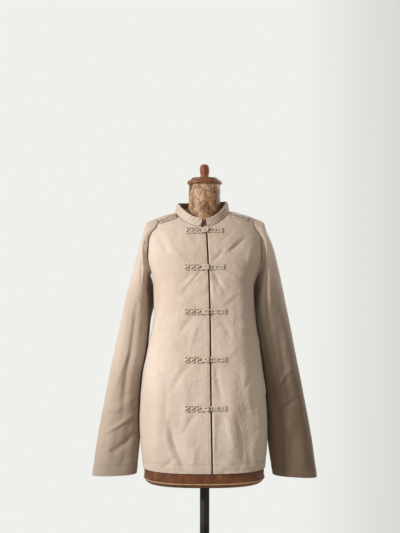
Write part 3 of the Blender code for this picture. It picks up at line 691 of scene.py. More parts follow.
@dataclass(frozen=True)
class AgedCover:
    """Painted and varnished papier-mache of the form, moulded by hand and old.

    It looks mottled and worn: brown and half glossy low down, tan, rubbed and cracked at the neck.
    """

    name: str = "form_cover_aged"
    heights: tuple[float, float] = (1.325, 1.35)   # m, where brown turns to tan
    patches: float = 44.0     # a metre: worn patches about 20 mm across
    cracks: float = 58.0      # a metre: cracks about 17 mm apart
    crack_half: float = 0.028  # share of that, 0.5 mm; real ones are finer and wouldn't show
    crack: str = "3C2212"
    neck: tuple[tuple[float, str], ...] = (
        (0.38, "4A2E1A"), (0.46, "8C6140"), (0.54, "BC936D"), (0.66, "D6B592"))
    body: tuple[tuple[float, str], ...] = (
        (0.30, "3A1E0A"), (0.48, "643510"), (0.62, "7C4817"), (0.80, "966024"))

    def build(self) -> bpy.types.Material:
        """Make the material.

        Returns:
            The material.
        """
        # aged varnish: a thin, dull coat over a rough ground
        material, shader = new_material(self.name, {
            "Roughness": 0.55, "IOR": 1.5, "Coat Weight": 0.15, "Coat Roughness": 0.35})
        place = add_node(material, "TexCoord")
        stretch = add_node(material, "Mapping", {"Scale": (1.0, 1.0, 0.6)},
                           {0: place.outputs["Object"]})
        patch = add_node(material, "TexNoise", {"Scale": self.patches, "Detail": 7.0,
                                                "Roughness": 0.72}, {0: stretch.outputs[0]})
        bend = add_node(material, "TexNoise", {"Scale": 60.0, "Detail": 4.0},
                        {0: stretch.outputs[0]})
        bent = add_node(material, "Mix", {"data_type": "VECTOR", 0: 0.012},
                        {4: stretch.outputs[0], 5: bend.outputs["Color"]})
        crack = add_node(material, "TexVoronoi", {"feature": "DISTANCE_TO_EDGE",
                                                  "Scale": self.cracks}, {0: bent.outputs[1]})
        neck = add_node(material, "ValToRGB", {"stops": self.neck}, {0: patch.outputs[0]})
        body = add_node(material, "ValToRGB", {"stops": self.body}, {0: patch.outputs[0]})
        split = add_node(material, "SeparateXYZ", links={0: place.outputs["Object"]})
        up = add_node(material, "MapRange", {1: self.heights[0], 2: self.heights[1]},
                      {0: split.outputs["Z"]})
        both = add_node(material, "Mix", {"data_type": "RGBA"},
                        {0: up.outputs[0], 6: body.outputs[0], 7: neck.outputs[0]})
        seam = add_node(material, "Math", {"operation": "LESS_THAN", 1: self.crack_half},
                        {0: crack.outputs["Distance"]})
        open_part = add_node(material, "MapRange", {1: 0.44, 2: 0.56, 3: 0.0, 4: 0.7},
                             {0: patch.outputs[0]})
        here = add_node(material, "Math", {"operation": "MULTIPLY"},
                        {0: open_part.outputs[0], 1: up.outputs[0]})
        faint = add_node(material, "Math", {"operation": "MULTIPLY"},
                         {0: seam.outputs[0], 1: here.outputs[0]})
        darkened = add_node(material, "Mix", {"data_type": "RGBA", 7: hex_colour(self.crack)},
                        {0: faint.outputs[0], 6: both.outputs[2]})
        tree = material.node_tree
        tree.links.new(darkened.outputs[2], shader.inputs["Base Color"])
        flake = add_node(material, "Math", {"operation": "SUBTRACT"},
                         {0: patch.outputs[0], 1: faint.outputs[0]})
        bump = add_node(material, "Bump", {"Strength": 0.7, "Distance": 0.002},
                        {"Height": flake.outputs[0]})
        tree.links.new(bump.outputs[0], shader.inputs["Normal"])
        return material


@dataclass(frozen=True)
class TurnedWood:
    """Stained and waxed hardwood, turned on a lathe.

    It looks red-brown with a fine upright grain and a soft gloss that is worn dull.
    """

    name: str
    light: str = "98603C"
    dark: str = "6A3D22"
    grain: tuple[float, float, float] = (6.0, 6.0, 0.7)   # finer across than along the grain
    streak: float = 40.0      # a metre, before the grain: streaks of 4 mm, drawn coarser than real

    def build(self) -> bpy.types.Material:
        """Make the material.

        Returns:
            The material.
        """
        # old wax: a thin, dull coat on wood of IOR 1.5
        material, shader = new_material(self.name, {
            "Roughness": 0.5, "IOR": 1.5, "Coat Weight": 0.12, "Coat Roughness": 0.35})
        place = add_node(material, "TexCoord")
        grain = add_node(material, "Mapping", {"Scale": self.grain}, {0: place.outputs["Object"]})
        streak = add_node(material, "TexNoise", {"Scale": self.streak, "Detail": 6.0},
                          {0: grain.outputs[0]})
        colour = add_node(material, "ValToRGB", {"stops": [(0.35, self.dark), (0.65, self.light)]},
                          {0: streak.outputs[0]})
        tree = material.node_tree
        tree.links.new(colour.outputs[0], shader.inputs["Base Color"])
        bump = add_node(material, "Bump", {"Strength": 0.2, "Distance": 0.0005},
                        {"Height": streak.outputs[0]})
        tree.links.new(bump.outputs[0], shader.inputs["Normal"])
        return material


@dataclass(frozen=True)
class DarkSteel:
    """Blackened steel of the stand, drawn tube and rolled plate.

    It looks nearly black with a low, broad gloss and slightly browner rubbed patches.
    """

    name: str
    light: str = "4C4742"
    dark: str = "2E2A26"
    patches: float = 30.0     # a metre: rubbed patches of about 30 mm

    def build(self) -> bpy.types.Material:
        """Make the material.

        Returns:
            The material.
        """
        # the oxide film is no bare metal, so metallic stays below 1
        material, shader = new_material(self.name, {"Metallic": 0.85, "Roughness": 0.42})
        place = add_node(material, "TexCoord")
        rub = add_node(material, "TexNoise", {"Scale": self.patches, "Detail": 7.0,
                                              "Roughness": 0.65}, {0: place.outputs["Object"]})
        colour = add_node(material, "ValToRGB", {"stops": [(0.3, self.dark), (0.75, self.light)]},
                          {0: rub.outputs[0]})
        rough = add_node(material, "MapRange", {3: 0.42, 4: 0.52}, {0: rub.outputs[0]})
        tree = material.node_tree
        tree.links.new(colour.outputs[0], shader.inputs["Base Color"])
        tree.links.new(rough.outputs[0], shader.inputs["Roughness"])
        bump = add_node(material, "Bump", {"Strength": 0.15, "Distance": 0.0004},
                        {"Height": rub.outputs[0]})
        tree.links.new(bump.outputs[0], shader.inputs["Normal"])
        return material


@dataclass
class ClothGrid:
    """A cloth piece as a grid of points, with what its material reads at each of them.

    seam is how brown or dark the cloth is, from dirt and painted shade at seams and painted shade
    elsewhere, stitch the distance from a row of stitches and run the distance along it.
    """

    name: str
    outer: Points
    inner: Points
    closed: bool = False
    seam: Points | None = None
    stitch: Points | None = None
    run: Points | None = None
    inner_shade: float = 0.0       # painted shade on the inner side

    def arc(self, axis: int) -> Points:
        """Distance along the grid from its first row or column.

        Args:
            axis: 0 counts down the rows, 1 across the columns.

        Returns:
            Millimetres at each point.
        """
        step = np.linalg.norm(np.diff(self.outer, axis=axis), axis=-1)
        start = np.zeros_like(np.take(step, [0], axis=axis))
        return np.cumsum(np.concatenate([start, step], axis=axis), axis=axis)

    def build(self, material: bpy.types.Material) -> bpy.types.Object:
        """Make the closed wall.

        Args:
            material: its cloth.

        Returns:
            The mesh object, at the origin.
        """
        outer, inner = self.outer, self.inner
        rows, columns = outer.shape[:2]
        count = rows * columns
        last = columns if self.closed else columns - 1
        faces = []
        for r in range(rows - 1):
            for c in range(last):
                a, b = r * columns + c, r * columns + (c + 1) % columns
                faces.append((a, b, b + columns, a + columns))
                faces.append((count + a, count + a + columns, count + b + columns, count + b))
        for r in (0, rows - 1):
            for c in range(last):
                a, b = r * columns + c, r * columns + (c + 1) % columns
                faces.append((a, b, count + b, count + a))
        if not self.closed:
            for r in range(rows - 1):
                for c in (0, columns - 1):
                    a, b = r * columns + c, (r + 1) * columns + c
                    faces.append((a, b, count + b, count + a))
        verts = np.concatenate([outer.reshape(-1, 3), inner.reshape(-1, 3)]) * MM
        obj = mesh_object(self.name, verts, faces, material)
        self.paint(obj)
        return obj

    def paint(self, obj: bpy.types.Object) -> None:
        """Write the UV map in metres and the seam, stitch and run attributes.

        Args:
            obj: the piece's object.
        """
        mesh = obj.data
        across, down = self.arc(1) * MM, self.arc(0) * MM
        flat = np.stack([across, down], axis=-1).reshape(-1, 2)
        flat = np.concatenate([flat, flat])
        layer = mesh.uv_layers.new(name="cut")
        where = np.zeros(len(mesh.loops), dtype=int)
        mesh.loops.foreach_get("vertex_index", where)
        layer.data.foreach_set("uv", flat[where].astype(np.float32).ravel())
        shape = self.outer.shape[:2]
        for name, values, rest in (("seam", self.seam, 0.0), ("stitch", self.stitch, NO_STITCH),
                                   ("run", self.run, 0.0)):
            values = np.full(shape, rest) if values is None else values
            # the inner side takes its painted shade
            inside = np.maximum(values, self.inner_shade) if name == "seam" else values
            both = np.concatenate([values.ravel(), inside.ravel()]).astype(np.float32)
            mesh.attributes.new(name, "FLOAT", "POINT").data.foreach_set("value", both)


def mesh_object(name: str, verts: Points, faces: list[tuple], material: bpy.types.Material,
                sharp: float = 40.0) -> bpy.types.Object:
    """Mesh with its faces turned outward and smooth up to an angle.

    Args:
        name: piece name.
        verts: points in metres.
        faces: vertex numbers.
        material: its finish.
        sharp: degrees above which an edge stays crisp.

    Returns:
        The object.
    """
    mesh = bpy.data.meshes.new(name)
    mesh.from_pydata([tuple(map(float, p)) for p in verts], [], faces)
    work = bmesh.new()
    work.from_mesh(mesh)
    bmesh.ops.recalc_face_normals(work, faces=work.faces)
    if work.calc_volume(signed=True) < 0:
        bmesh.ops.reverse_faces(work, faces=work.faces)
    work.to_mesh(mesh)
    work.free()
    obj = bpy.data.objects.new(name, mesh)
    bpy.context.scene.collection.objects.link(obj)
    mesh.materials.append(material)
    select_only(obj)
    bpy.ops.object.shade_smooth_by_angle(angle=math.radians(sharp))
    return obj


def select_only(obj: bpy.types.Object) -> None:
    """Make one object active and alone selected.

    Args:
        obj: the object.
    """
    bpy.ops.object.select_all(action="DESELECT")
    obj.select_set(True)
    bpy.context.view_layer.objects.active = obj


def steps(count: int, crowd: tuple[float, ...] = ()) -> Points:
    """Even places from 0 to 1 with extra ones near both ends.

    Args:
        count: number of even steps.
        crowd: distances of the extra places from each end.

    Returns:
        Rising places.
    """
    even = np.linspace(0, 1, count + 1)
    extra = [v for near in crowd for v in (near, 1 - near)]
    return np.unique(np.round(np.concatenate([even, extra]), 6))


def edge_sink(distance: Points, depth: float, width: float = ROLL_WIDTH) -> Points:
    """Depth by which cloth rolls in toward a seam."""
    return depth * np.exp(-(distance / width) ** 2)


@dataclass(frozen=True)
class StripPlace:
    """Where a strip of trim lies on the fronts: its ends, its width and its painted shadow on them.
    """

    word: str
    x0: float
    z0: float
    x1: float
    z1: float
    width: float
    tone: float

    def shade(self, points: Points) -> Points:
        """How much painted shadow darkens the cloth under the strip.

        Args:
            points: places on the cloth.

        Returns:
            Seam values, 0 away from the strip.
        """
        start, end = np.array([self.x0, self.z0]), np.array([self.x1, self.z1])
        along = end - start
        flat = points[..., [0, 2]] - start
        share = np.clip(flat @ along / (along @ along), 0, 1)
        away = np.linalg.norm(flat - share[..., None] * along, axis=-1)
        return self.tone * np.exp(-(away / (self.width * 0.5)) ** 6)


# each strip's last number is the painted shadow it casts on the cloth below
STRIPS = [StripPlace("left", -70.0, 1354.0, -110.0, 1340.5, 12.0, 0.8),
          StripPlace("right", 67.0, 1356.0, 106.0, 1345.0, 11.0, 0.5)]


@dataclass
class ShirtBody:
    """The two fronts and the back.

    Each half panel has three bands of rows: along the shoulder seam, the armhole and the side.
    """

    hem: float = 735.0
    front_neck: float = 1328.0
    back_neck: float = 1370.0
    side_neck: dict[int, float] = field(default_factory=lambda: {-1: 1364.5, 1: 1368.5})
    neck_round: float = 2.1       # how round the front neckline is; 1 is straight
    back_scoop: float = 2.3       # the same at the back
    slit_half: float = 2.0
    slit_top_half: float = 8.0
    slit_top: float = 9.0         # length over which the slit opens below the neck
    columns: int = 72
    shoulder_rows: int = 14
    armhole_rows: int = 58
    side_rows: int = 144
    hem_turn: float = 22.0
    turning_dent: float = 0.5
    turning_swell: float = 9.0    # half length of the soft swell of the hem's turning
    slit_stitch: float = 6.0      # from the slit to its row of stitches
    roll: dict[Panel, float] = field(
        default_factory=lambda: {Panel.LEFT: 1.3, Panel.RIGHT: 0.65, Panel.BACK: 1.3})
    slit_roll: float = 0.52
    back_roll: float = 1.3
    top_roll: float = 0.8
    pucker: float = 1.3
    pucker_size: float = 13.0
    pucker_reach: float = 9.0
    # darker lines along the seams and the slit: partly dirt, partly painted shade
    seam_tone: dict[Panel, float] = field(
        default_factory=lambda: {Panel.LEFT: 0.6, Panel.RIGHT: 0.1, Panel.BACK: 0.16})
    slit_tone: float = 0.15
    centre_top: dict[Face, float] = field(
        default_factory=lambda: {Face.FRONT: 1302.0, Face.BACK: 1336.0})
    centre_bottom: float = 1195.0

    def slit(self, side: int, z: Points) -> Points:
        """X of a front's edge at the slit."""
        t = np.clip((z - self.front_neck + self.slit_top) / self.slit_top, 0, 1)
        return SLIT(z) + side * lerp(self.slit_half, self.slit_top_half, t * t)

    def neck_shares(self, side: int, columns: Points) -> tuple[Points, Points]:
        """Shares of the turn and of the rise along half the front neckline.

        Args:
            side: -1 or 1.
            columns: places from 0 at the slit to 1 at the shoulder seam.

        Returns:
            Shares of the turn round the body and of the rise, one each for each column.
        """
        across = np.linspace(0, 1, 240)
        z = lerp(self.front_neck, self.side_neck[side], across ** self.neck_round)
        start = self.slit(side, np.array(self.front_neck))
        end = side * BODY["left" if side < 0 else "right"](self.side_neck[side])
        angle = angle_at_x(lerp(start, end, across), z)
        angle[-1] = side * 90.0
        turn = (angle - angle[0]) / (angle[-1] - angle[0])
        even = (across + turn) / 2
        rise = np.interp(columns, even, across) ** self.neck_round
        return np.interp(columns, even, turn), rise

    def half_panel(self, side: int, face: Face) -> tuple[Points, Points]:
        """Angles and heights of a half panel, rows down, columns from the centre outward.

        Args:
            side: -1 or 1.
            face: front or back.

        Returns:
            Two grids.
        """
        top = self.front_neck if face is Face.FRONT else self.back_neck
        shoulder = np.linspace(0, 1, self.shoulder_rows + 1)[:-1]
        arm = np.linspace(0, 1, self.armhole_rows + 1)[:-1]
        low = steps(self.side_rows, (0.006, 0.012))
        edge_s = np.full(len(shoulder), side * 90.0)
        z_s = lerp(self.side_neck[side], ARMHOLE.top, shoulder)
        edge_a, z_a = ARMHOLE.angle(side, arm * 180, face)
        edge_l = np.full(len(low), side * 90.0)
        z_l = lerp(ARMHOLE.bottom, self.hem, low)
        edge, edge_z = np.concatenate([edge_s, edge_a, edge_l]), np.concatenate([z_s, z_a, z_l])
        middle = self.centre_top[face]
        centre_z = np.concatenate([lerp(top, middle, shoulder),
                                   lerp(middle, self.centre_bottom, arm),
                                   lerp(self.centre_bottom, self.hem, low)])
        share = np.concatenate([shoulder * 3, 3 + arm * 10, np.full(len(low), 13.0)]) / 13
        share, u = share[:, None], steps(self.columns, (0.006, 0.013, 0.02))[None, :]
        if face is Face.FRONT:
            start = angle_at_x(self.slit(side, centre_z), centre_z)
            turn, rise = self.neck_shares(side, u)
            turn, rise = lerp(turn, u, share), lerp(rise, u, share)
        else:
            start = np.full(len(centre_z), side * 180.0)
            turn, rise = u, 1 - (1 - u) ** lerp(self.back_scoop, 1.0, share)
        z = lerp(centre_z[:, None], edge_z[:, None], rise)
        return lerp(start[:, None], edge[:, None], turn), z

    def wall(self, panel: Panel, angles: Points, z: Points) -> ClothGrid:
        """Cloth grid rolled in at its sewn edges, with stitch rows at hem and slit.

        Args:
            panel: which sheet. A front's first column is the slit's edge, not a seam.
            angles: degrees round the body.
            z: heights.

        Returns:
            The grid.
        """
        is_front = panel is not Panel.BACK
        outer = cloth_point(angles, z)
        normals = base_normal(angles, z)
        grid = ClothGrid(f"shirt_{panel.value}", outer, outer)
        across, down = grid.arc(1), grid.arc(0)
        from_last = across[:, -1:] - across
        from_hem = down[-1:, :] - down
        sink = edge_sink(from_last, self.roll[panel])
        sink = sink + edge_sink(across, self.slit_roll if is_front else self.back_roll)
        calm = np.clip((1352 - outer[..., 2]) / 12, 0.35, 1)   # little room above the shoulder
        sink = sink * calm + edge_sink(down, self.top_roll, 2.4)
        swell = np.exp(-((from_hem - self.hem_turn / 2) / self.turning_swell) ** 2)
        dent = np.exp(-((from_hem - self.hem_turn) / TURNING_LINE) ** 2)
        sink += self.turning_dent * (dent - swell)
        near_edge = np.minimum(np.minimum(from_last, across), np.minimum(from_hem, down) * 1.3)
        sink += (self.pucker * ripple(outer, 4.4, self.pucker_size)
                 * np.exp(-near_edge / self.pucker_reach) * calm)
        grid.outer = outer - normals * sink[..., None]
        grid.inner = grid.outer - normals * WALL
        for side in (grid.outer, grid.inner):
            for view in (side, side.swapaxes(0, 1)[::-1]):
                view[0] += unit(view[1] - view[0]) * SEAM / 2
        hem_row = from_hem - self.hem_turn
        slit_row = across - self.slit_stitch if is_front else np.full(across.shape, NO_STITCH)
        grid.stitch = np.minimum(hem_row, slit_row)
        grid.run = np.where(hem_row < slit_row, across, down)
        # partly dirt, partly painted shade along the seams and the slit
        first_tone = self.slit_tone if is_front else 1.0
        grid.seam = self.seam_tone[panel] * np.maximum(
            np.exp(-(from_last / SEAM_WIDTH) ** 2),
            first_tone * np.exp(-(across / SEAM_WIDTH) ** 2))
        # painted shadow under the shoulder strips
        if is_front:
            for strip in STRIPS:
                grid.seam = np.maximum(grid.seam, strip.shade(outer))
        return grid

    def build(self) -> list[bpy.types.Object]:
        """Make the fronts and the back.

        Returns:
            The three sheets.
        """
        left, right = (self.half_panel(side, Face.BACK) for side in (-1, 1))
        grids = {
            Panel.LEFT: self.half_panel(-1, Face.FRONT),
            Panel.RIGHT: self.half_panel(1, Face.FRONT),
            Panel.BACK: (np.concatenate([left[0][:, ::-1], right[0][:, 1:] - 360], axis=1),
                         np.concatenate([left[1][:, ::-1], right[1][:, 1:]], axis=1)),
        }
        pieces = []
        for panel, (angles, z) in grids.items():
            cloth = TwillCloth(f"twill_{panel.value}").build()
            piece = self.wall(panel, angles, z).build(cloth)
            dress(piece, panel.value)
            pieces.append(piece)
        return pieces


@dataclass(frozen=True)
class Groove:
    """Soft trough or ridge along a sleeve; turn is degrees from the outer edge to the front."""

    turn0: float
    along0: float
    turn1: float
    along1: float
    rise: float
    reach: float

    def height(self, turn: Points, along: Points) -> Points:
        """Height at places on the sleeve.

        Args:
            turn: degrees round it.
            along: share of its length.

        Returns:
            How far the cloth stands out there.
        """
        t = (along - self.along0) / (self.along1 - self.along0)
        inside = np.clip(t, 0, 1)
        away = (turn - lerp(self.turn0, self.turn1, inside)) / self.reach
        return np.where((t > 0) & (t < 1),
                        self.rise * np.sin(math.pi * inside) ** FOLD_FADE * np.exp(-away ** 2),
                        0.0)


GROOVES = {
    -1: [
        Groove(62, 0.40, 84, 0.74, -6.0, 26), Groove(112, 0.30, 122, 0.62, 3.0, 22),
        Groove(70, 0.76, 112, 0.70, 3.0, 20), Groove(250, 0.36, 282, 0.80, -5.0, 28),
        Groove(86, 0.32, 98, 0.79, -7.5, 11), Groove(128, 0.22, 138, 0.72, 6.0, 11),
        Groove(42, 0.22, 54, 0.50, 2.6, 11), Groove(50, 0.84, 132, 0.76, 5.5, 9),
        Groove(72, 0.92, 142, 0.83, -6.5, 13), Groove(60, 0.04, 96, 0.24, -3.0, 9),
        Groove(128, 0.05, 100, 0.22, 2.6, 9), Groove(76, 0.80, 64, 0.99, 2.6, 12),
        Groove(118, 0.78, 108, 0.98, -2.8, 10), Groove(84, 0.50, 62, 0.66, 2.4, 9),
        Groove(60, 0.86, 96, 0.94, -1.8, 9), Groove(30, 0.46, 48, 0.62, -2.0, 9),
        Groove(230, 0.10, 262, 0.34, -2.8, 11), Groove(285, 0.44, 270, 0.76, 3.0, 10),
        Groove(244, 0.66, 232, 0.92, 2.6, 12), Groove(300, 0.60, 268, 0.68, -2.4, 9),
    ],
    1: [
        Groove(84, 0.44, 72, 0.80, -5.0, 28), Groove(122, 0.12, 116, 0.40, 3.0, 22),
        Groove(276, 0.34, 262, 0.74, -5.5, 28), Groove(70, 0.06, 84, 0.42, 3.4, 9),
        Groove(96, 0.10, 102, 0.40, -3.6, 9), Groove(62, 0.38, 70, 0.74, -3.2, 10),
        Groove(108, 0.40, 98, 0.78, 3.4, 10), Groove(40, 0.58, 100, 0.66, 3.0, 8),
        Groove(44, 0.70, 112, 0.76, -3.0, 8), Groove(126, 0.70, 118, 0.97, 2.6, 11),
        Groove(72, 0.80, 84, 0.98, -2.6, 11), Groove(50, 0.84, 56, 0.99, 2.4, 9),
        Groove(130, 0.30, 124, 0.60, -2.6, 8), Groove(238, 0.12, 266, 0.36, -2.8, 11),
        Groove(290, 0.40, 276, 0.70, 2.9, 10), Groove(248, 0.62, 240, 0.90, -2.6, 11),
        Groove(300, 0.64, 262, 0.70, 2.4, 9),
    ],
}


@dataclass
class Sleeve:
    """One long plain sleeve, from the armhole to an open cuff.

    Turns round it run in degrees from its outer edge over the front; along runs from 0 at the
    armhole to 1 at the cuff.
    """

    side: int
    word: str
    lean: float                # how far the front ridge leans toward the body
    tone: float                # how much painted shade browns the cloth down the sleeve
    body_side_shade: float          # how much more painted shade the side next to the body takes
    # the seam's tone darkens the armhole seam: partly dirt, partly painted shade
    seam_tone: float
    roll: float
    tone_reach: float = 0.34   # share of the length over which the painted shade comes in
    # how much less painted shade the back half takes
    paler_back: float = 0.22
    rings: int = 170
    around: int = 128
    cuff_turn: float = 26.0
    cuff_from: float = 0.955   # the cuff has closer rings from here on
    top_rings: int = 18
    cuff_rings: int = 12
    set_back: float = 25.0     # how far its edges lie behind the body's side seams
    tuck: float = 21.0         # how far the underarm is tucked in
    tuck_turn: float = 222.0
    tuck_along: float = 0.23
    tuck_reach: tuple[float, float] = (32.0, 0.14)
    turning_dent: float = 0.5
    turning_swell: float = 10.0
    # darker along the underarm seam: partly dirt, partly painted shade
    underarm_tone: float = 0.3

    def surface(self, along: Points, turns: Points) -> Points:
        """Sleeve points before the folds.

        Args:
            along: 0 at the armhole to 1 at the cuff.
            turns: degrees round the sleeve from its outer edge over the front.

        Returns:
            Grid of points, rings by turns.
        """
        arm = {name: curve(along)[:, None] for name, curve in SLEEVES[self.side].items()}
        start = {name: float(curve(0.0)) for name, curve in SLEEVES[self.side].items()}
        turn = turns[None, :]
        sin_part, cos_part = section(turn, 1.0, -1.0, arm["power"])
        back = self.set_back * np.interp(along, [0, 0.1, 0.3, 0.85, 1], [0, 0, 1, 1, 0.4])[:, None]
        reach = np.where(turn <= 180, arm["front"] + back, arm["back"] - back)
        lean = np.where(turn <= 180, self.lean, 0.0) * np.clip(along / 0.3, 0, 1)[:, None]
        lean = lean * lerp(1.0, 0.4, along)[:, None]
        cos_part = cos_part - lean * np.sin(np.radians(turn)) ** 2
        middle_x, middle_z = ((arm[f"outer_{a}"] + arm[f"inner_{a}"]) / 2 for a in "xz")
        half_x, half_z = ((arm[f"outer_{a}"] - arm[f"inner_{a}"]) / 2 for a in "xz")
        points = np.stack([self.side * (middle_x + half_x * cos_part), back - reach * sin_part,
                           middle_z + half_z * cos_part], axis=-1)
        radians = np.radians(turns)
        first = np.stack([
            self.side * ((start["outer_x"] + start["inner_x"]) / 2
                         + (start["outer_x"] - start["inner_x"]) / 2 * np.cos(radians)),
            -np.where(turns <= 180, start["front"], start["back"]) * np.sin(radians),
            (start["outer_z"] + start["inner_z"]) / 2
            + (start["outer_z"] - start["inner_z"]) / 2 * np.cos(radians)], axis=-1)
        offset = ARMHOLE.points(self.side, turns) - first
        points = points + offset[None] * arm["armhole"][..., None]
        tuck = np.exp(-((turn - self.tuck_turn) / self.tuck_reach[0]) ** 2) * self.tuck
        tuck = tuck * np.exp(-((along[:, None] - self.tuck_along) / self.tuck_reach[1]) ** 2)
        points[..., 0] -= self.side * tuck
        return points

    def shade_and_seam_darkening(self, along: Points, turns: Points, down: Points) -> Points:
        """How brown the cloth is: painted shade down the sleeve, and partly dirt, partly painted
        shade at the armhole and along the underarm seam.

        Args:
            along: share of the length.
            turns: degrees round it.
            down: millimetres from the armhole.

        Returns:
            Seam values.
        """
        over = np.sin(np.radians(turns))
        # painted shade down the sleeve, more beside the body, less on the back
        darkened = self.tone * np.clip((along - 0.06) / self.tone_reach, 0, 1)
        darkened = darkened * (1 - self.body_side_shade * np.cos(np.radians(turns)))
        darkened = darkened * (1 - self.paler_back * (1 - over))
        # partly dirt, partly painted shade at the armhole seam
        sewn = self.seam_tone * (0.25 + 0.75 * np.clip(0.5 + over, 0, 1))
        sewn = sewn * np.exp(-(down / SEAM_WIDTH) ** 2)
        underarm = self.underarm_tone * np.exp(-(np.abs(turns - 180) * 0.4) ** 2)
        return np.maximum(np.maximum(sewn, darkened), underarm)

    def build(self) -> bpy.types.Object:
        """Make the sleeve.

        Returns:
            The sleeve.
        """
        along = np.unique(np.concatenate([
            np.linspace(0, 0.1, self.top_rings), np.linspace(0.1, self.cuff_from, self.rings),
            np.linspace(self.cuff_from, 1, self.cuff_rings)]))
        turns = np.arange(self.around) * 360.0 / self.around
        outer = self.surface(along, turns)
        around = np.roll(outer, -1, axis=1) - np.roll(outer, 1, axis=1)
        normals = unit(np.cross(around, np.gradient(outer, axis=0))) * self.side
        rise = sum(g.height(turns[None, :], along[:, None]) for g in GROOVES[self.side])
        waves = 0.9 * ripple(outer, 5.7 + self.side, 52) + 0.45 * ripple(outer, 1.3, 22)
        rise = rise + waves * np.clip(along[:, None] / 0.12, 0, 1)
        grid = ClothGrid(f"shirt_sleeve_{self.word}", outer, outer, closed=True)
        down = grid.arc(0)
        from_cuff = down[-1:, :] - down
        rise = rise - edge_sink(down, self.roll)
        dent = np.exp(-((from_cuff - self.cuff_turn) / TURNING_LINE) ** 2)
        swell = np.exp(-((from_cuff - self.cuff_turn / 2) / self.turning_swell) ** 2)
        rise = rise + self.turning_dent * (swell - dent)
        grid.outer = outer + normals * rise[..., None]
        grid.inner = grid.outer - normals * WALL
        for side in (grid.outer, grid.inner):
            side[0] += unit(side[1] - side[0]) * SEAM / 2
        grid.seam = self.shade_and_seam_darkening(along[:, None], turns[None, :], down)
        grid.stitch = from_cuff - self.cuff_turn
        grid.run = np.broadcast_to(turns[None, :] * 0.8, down.shape)   # 0.8 mm a degree at a cuff
        piece = grid.build(TwillCloth(f"twill_sleeve_{self.word}").build())
        dress(piece, f"sleeve_{self.word}")
        return piece


@dataclass
class Collar:
    """Open stand collar, sewn round the neckline and quilted with rows of stitching at +X."""

    front: float = 21.0
    back: float = 27.0
    lean: float = 0.27        # how far it leans outward for its height
    end_lean: float = 3.0
    rows: int = 30
    row: float = 4.6          # mm between two rows of stitching
    quilt_from: float = -270.0   # degrees round the neck from which it is quilted
    rib: float = 0.6
    pucker_pitch: float = 15.0
    top_roll: float = 1.1
    foot_roll: float = 0.7
    corner: float = 2.2       # how far the corners at its ends are cut down
    corner_share: float = 0.006
    # darker line at the collar's foot: partly dirt, partly painted shade
    seam_tone: tuple[float, float] = (0.6, 0.35)   # quilted part, plain part
    # painted shade inside the collar
    inner_shade: float = 0.6

    def neckline(self, body: ShirtBody) -> tuple[Points, Points]:
        """Course of the neckline, from one front end round the back to the other.

        Args:
            body: the shirt body.

        Returns:
            Degrees round the body and heights.
        """
        parts = []
        for side, face, order in ((-1, Face.FRONT, 1), (-1, Face.BACK, -1),
                                  (1, Face.BACK, 1), (1, Face.FRONT, -1)):
            angle, z = (grid[0, ::order] for grid in body.half_panel(side, face))
            parts.append((angle - (360 if side > 0 else 0), z))
        return tuple(np.concatenate([parts[0][i]] + [part[i][1:] for part in parts[1:]])
                     for i in (0, 1))

    def build(self, body: ShirtBody) -> bpy.types.Object:
        """Make the collar on the body's neckline.

        Args:
            body: the shirt body.

        Returns:
            The collar.
        """
        share = steps(self.rows, (0.03,))[:, None]
        angle, z = self.neckline(body)
        t = (angle[0] - angle) / (angle[0] - angle[-1])
        foot, body_out = base_point(angle, z), base_normal(angle, z)
        flat = unit(foot * np.array([1, 1, 0]))
        rise = np.array([0, 0, 1.0])
        up, out = unit(rise - flat * self.lean), unit(flat + rise * self.lean)
        foot = foot + unit(np.cross(np.cross(body_out, up), body_out)) * SEAM / 2
        height = lerp(self.front, self.back, np.sin(math.pi * t) ** 0.8)
        height = height - self.corner * np.exp(-(np.minimum(t, 1 - t) / self.corner_share) ** 2)
        ends = self.end_lean * (np.maximum(0, 1 - t * 12) - np.maximum(0, 1 - (1 - t) * 12))
        outer = foot[None] + up[None] * (height[None] * share)[..., None]
        outer[..., 0] += ends[None] * share
        wave = 0.7 * ripple(outer, 2.2, 26) * share
        roll = edge_sink((1 - share) * height[None], self.top_roll, 2.0)
        foot_roll = edge_sink(share * height[None], self.foot_roll, 2.4)
        pitch = height[None] * share
        run = np.broadcast_to(np.concatenate([[0.0], np.cumsum(np.linalg.norm(
            np.diff(foot, axis=0), axis=1))]), pitch.shape)
        quilted = angle[None] < self.quilt_from
        ribs = self.rib * np.cos(pitch * 2 * math.pi / self.row) * np.clip(share * 4, 0, 1)
        # slanting puckers of uneven pitch and height
        pucker = np.sin((run + 0.8 * pitch) * 2 * math.pi / self.pucker_pitch
                        + 5.0 * ripple(outer, 9.1, 24))
        pucker = pucker * (0.9 + 0.9 * ripple(outer, 3.3, 18)) + 0.6 * ripple(outer, 7.7, 9)
        pucker = pucker * np.sin(math.pi * np.clip(share, 0.05, 0.95)) ** 0.5
        relief = np.where(quilted, ribs + 0.25 * pucker, pucker)
        outer = outer + out[None] * (wave - roll - foot_roll + relief)[..., None]
        inward = np.where(share[..., None] < 0.01, unit(body_out + out)[None] * 1.1, out[None])
        grid = ClothGrid("shirt_collar", outer, outer - inward * WALL, inner_shade=self.inner_shade)
        # partly dirt, partly painted shade at the collar's foot
        grid.seam = np.where(quilted, *self.seam_tone) * np.exp(-(pitch / 1.2) ** 2)
        grid.stitch = np.where(quilted, 1.5 * np.sin(pitch * math.pi / self.row), NO_STITCH)
        grid.run = run
        # painted shade in the grooves of the rows of stitching
        piece = grid.build(TwillCloth("twill_collar", sewn=0.5).build())
        dress(piece, "collar")
        return piece


def dress(piece: bpy.types.Object, node: str | None) -> None:
    """Ride on the part and stand for a node.

    Args:
        piece: the finished piece.
        node: the CAD node that it replaces, if any.
    """
    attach(piece, "root")
    if node:
        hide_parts(node)
    log.info("%s: %d faces", piece.name, len(piece.data.polygons))


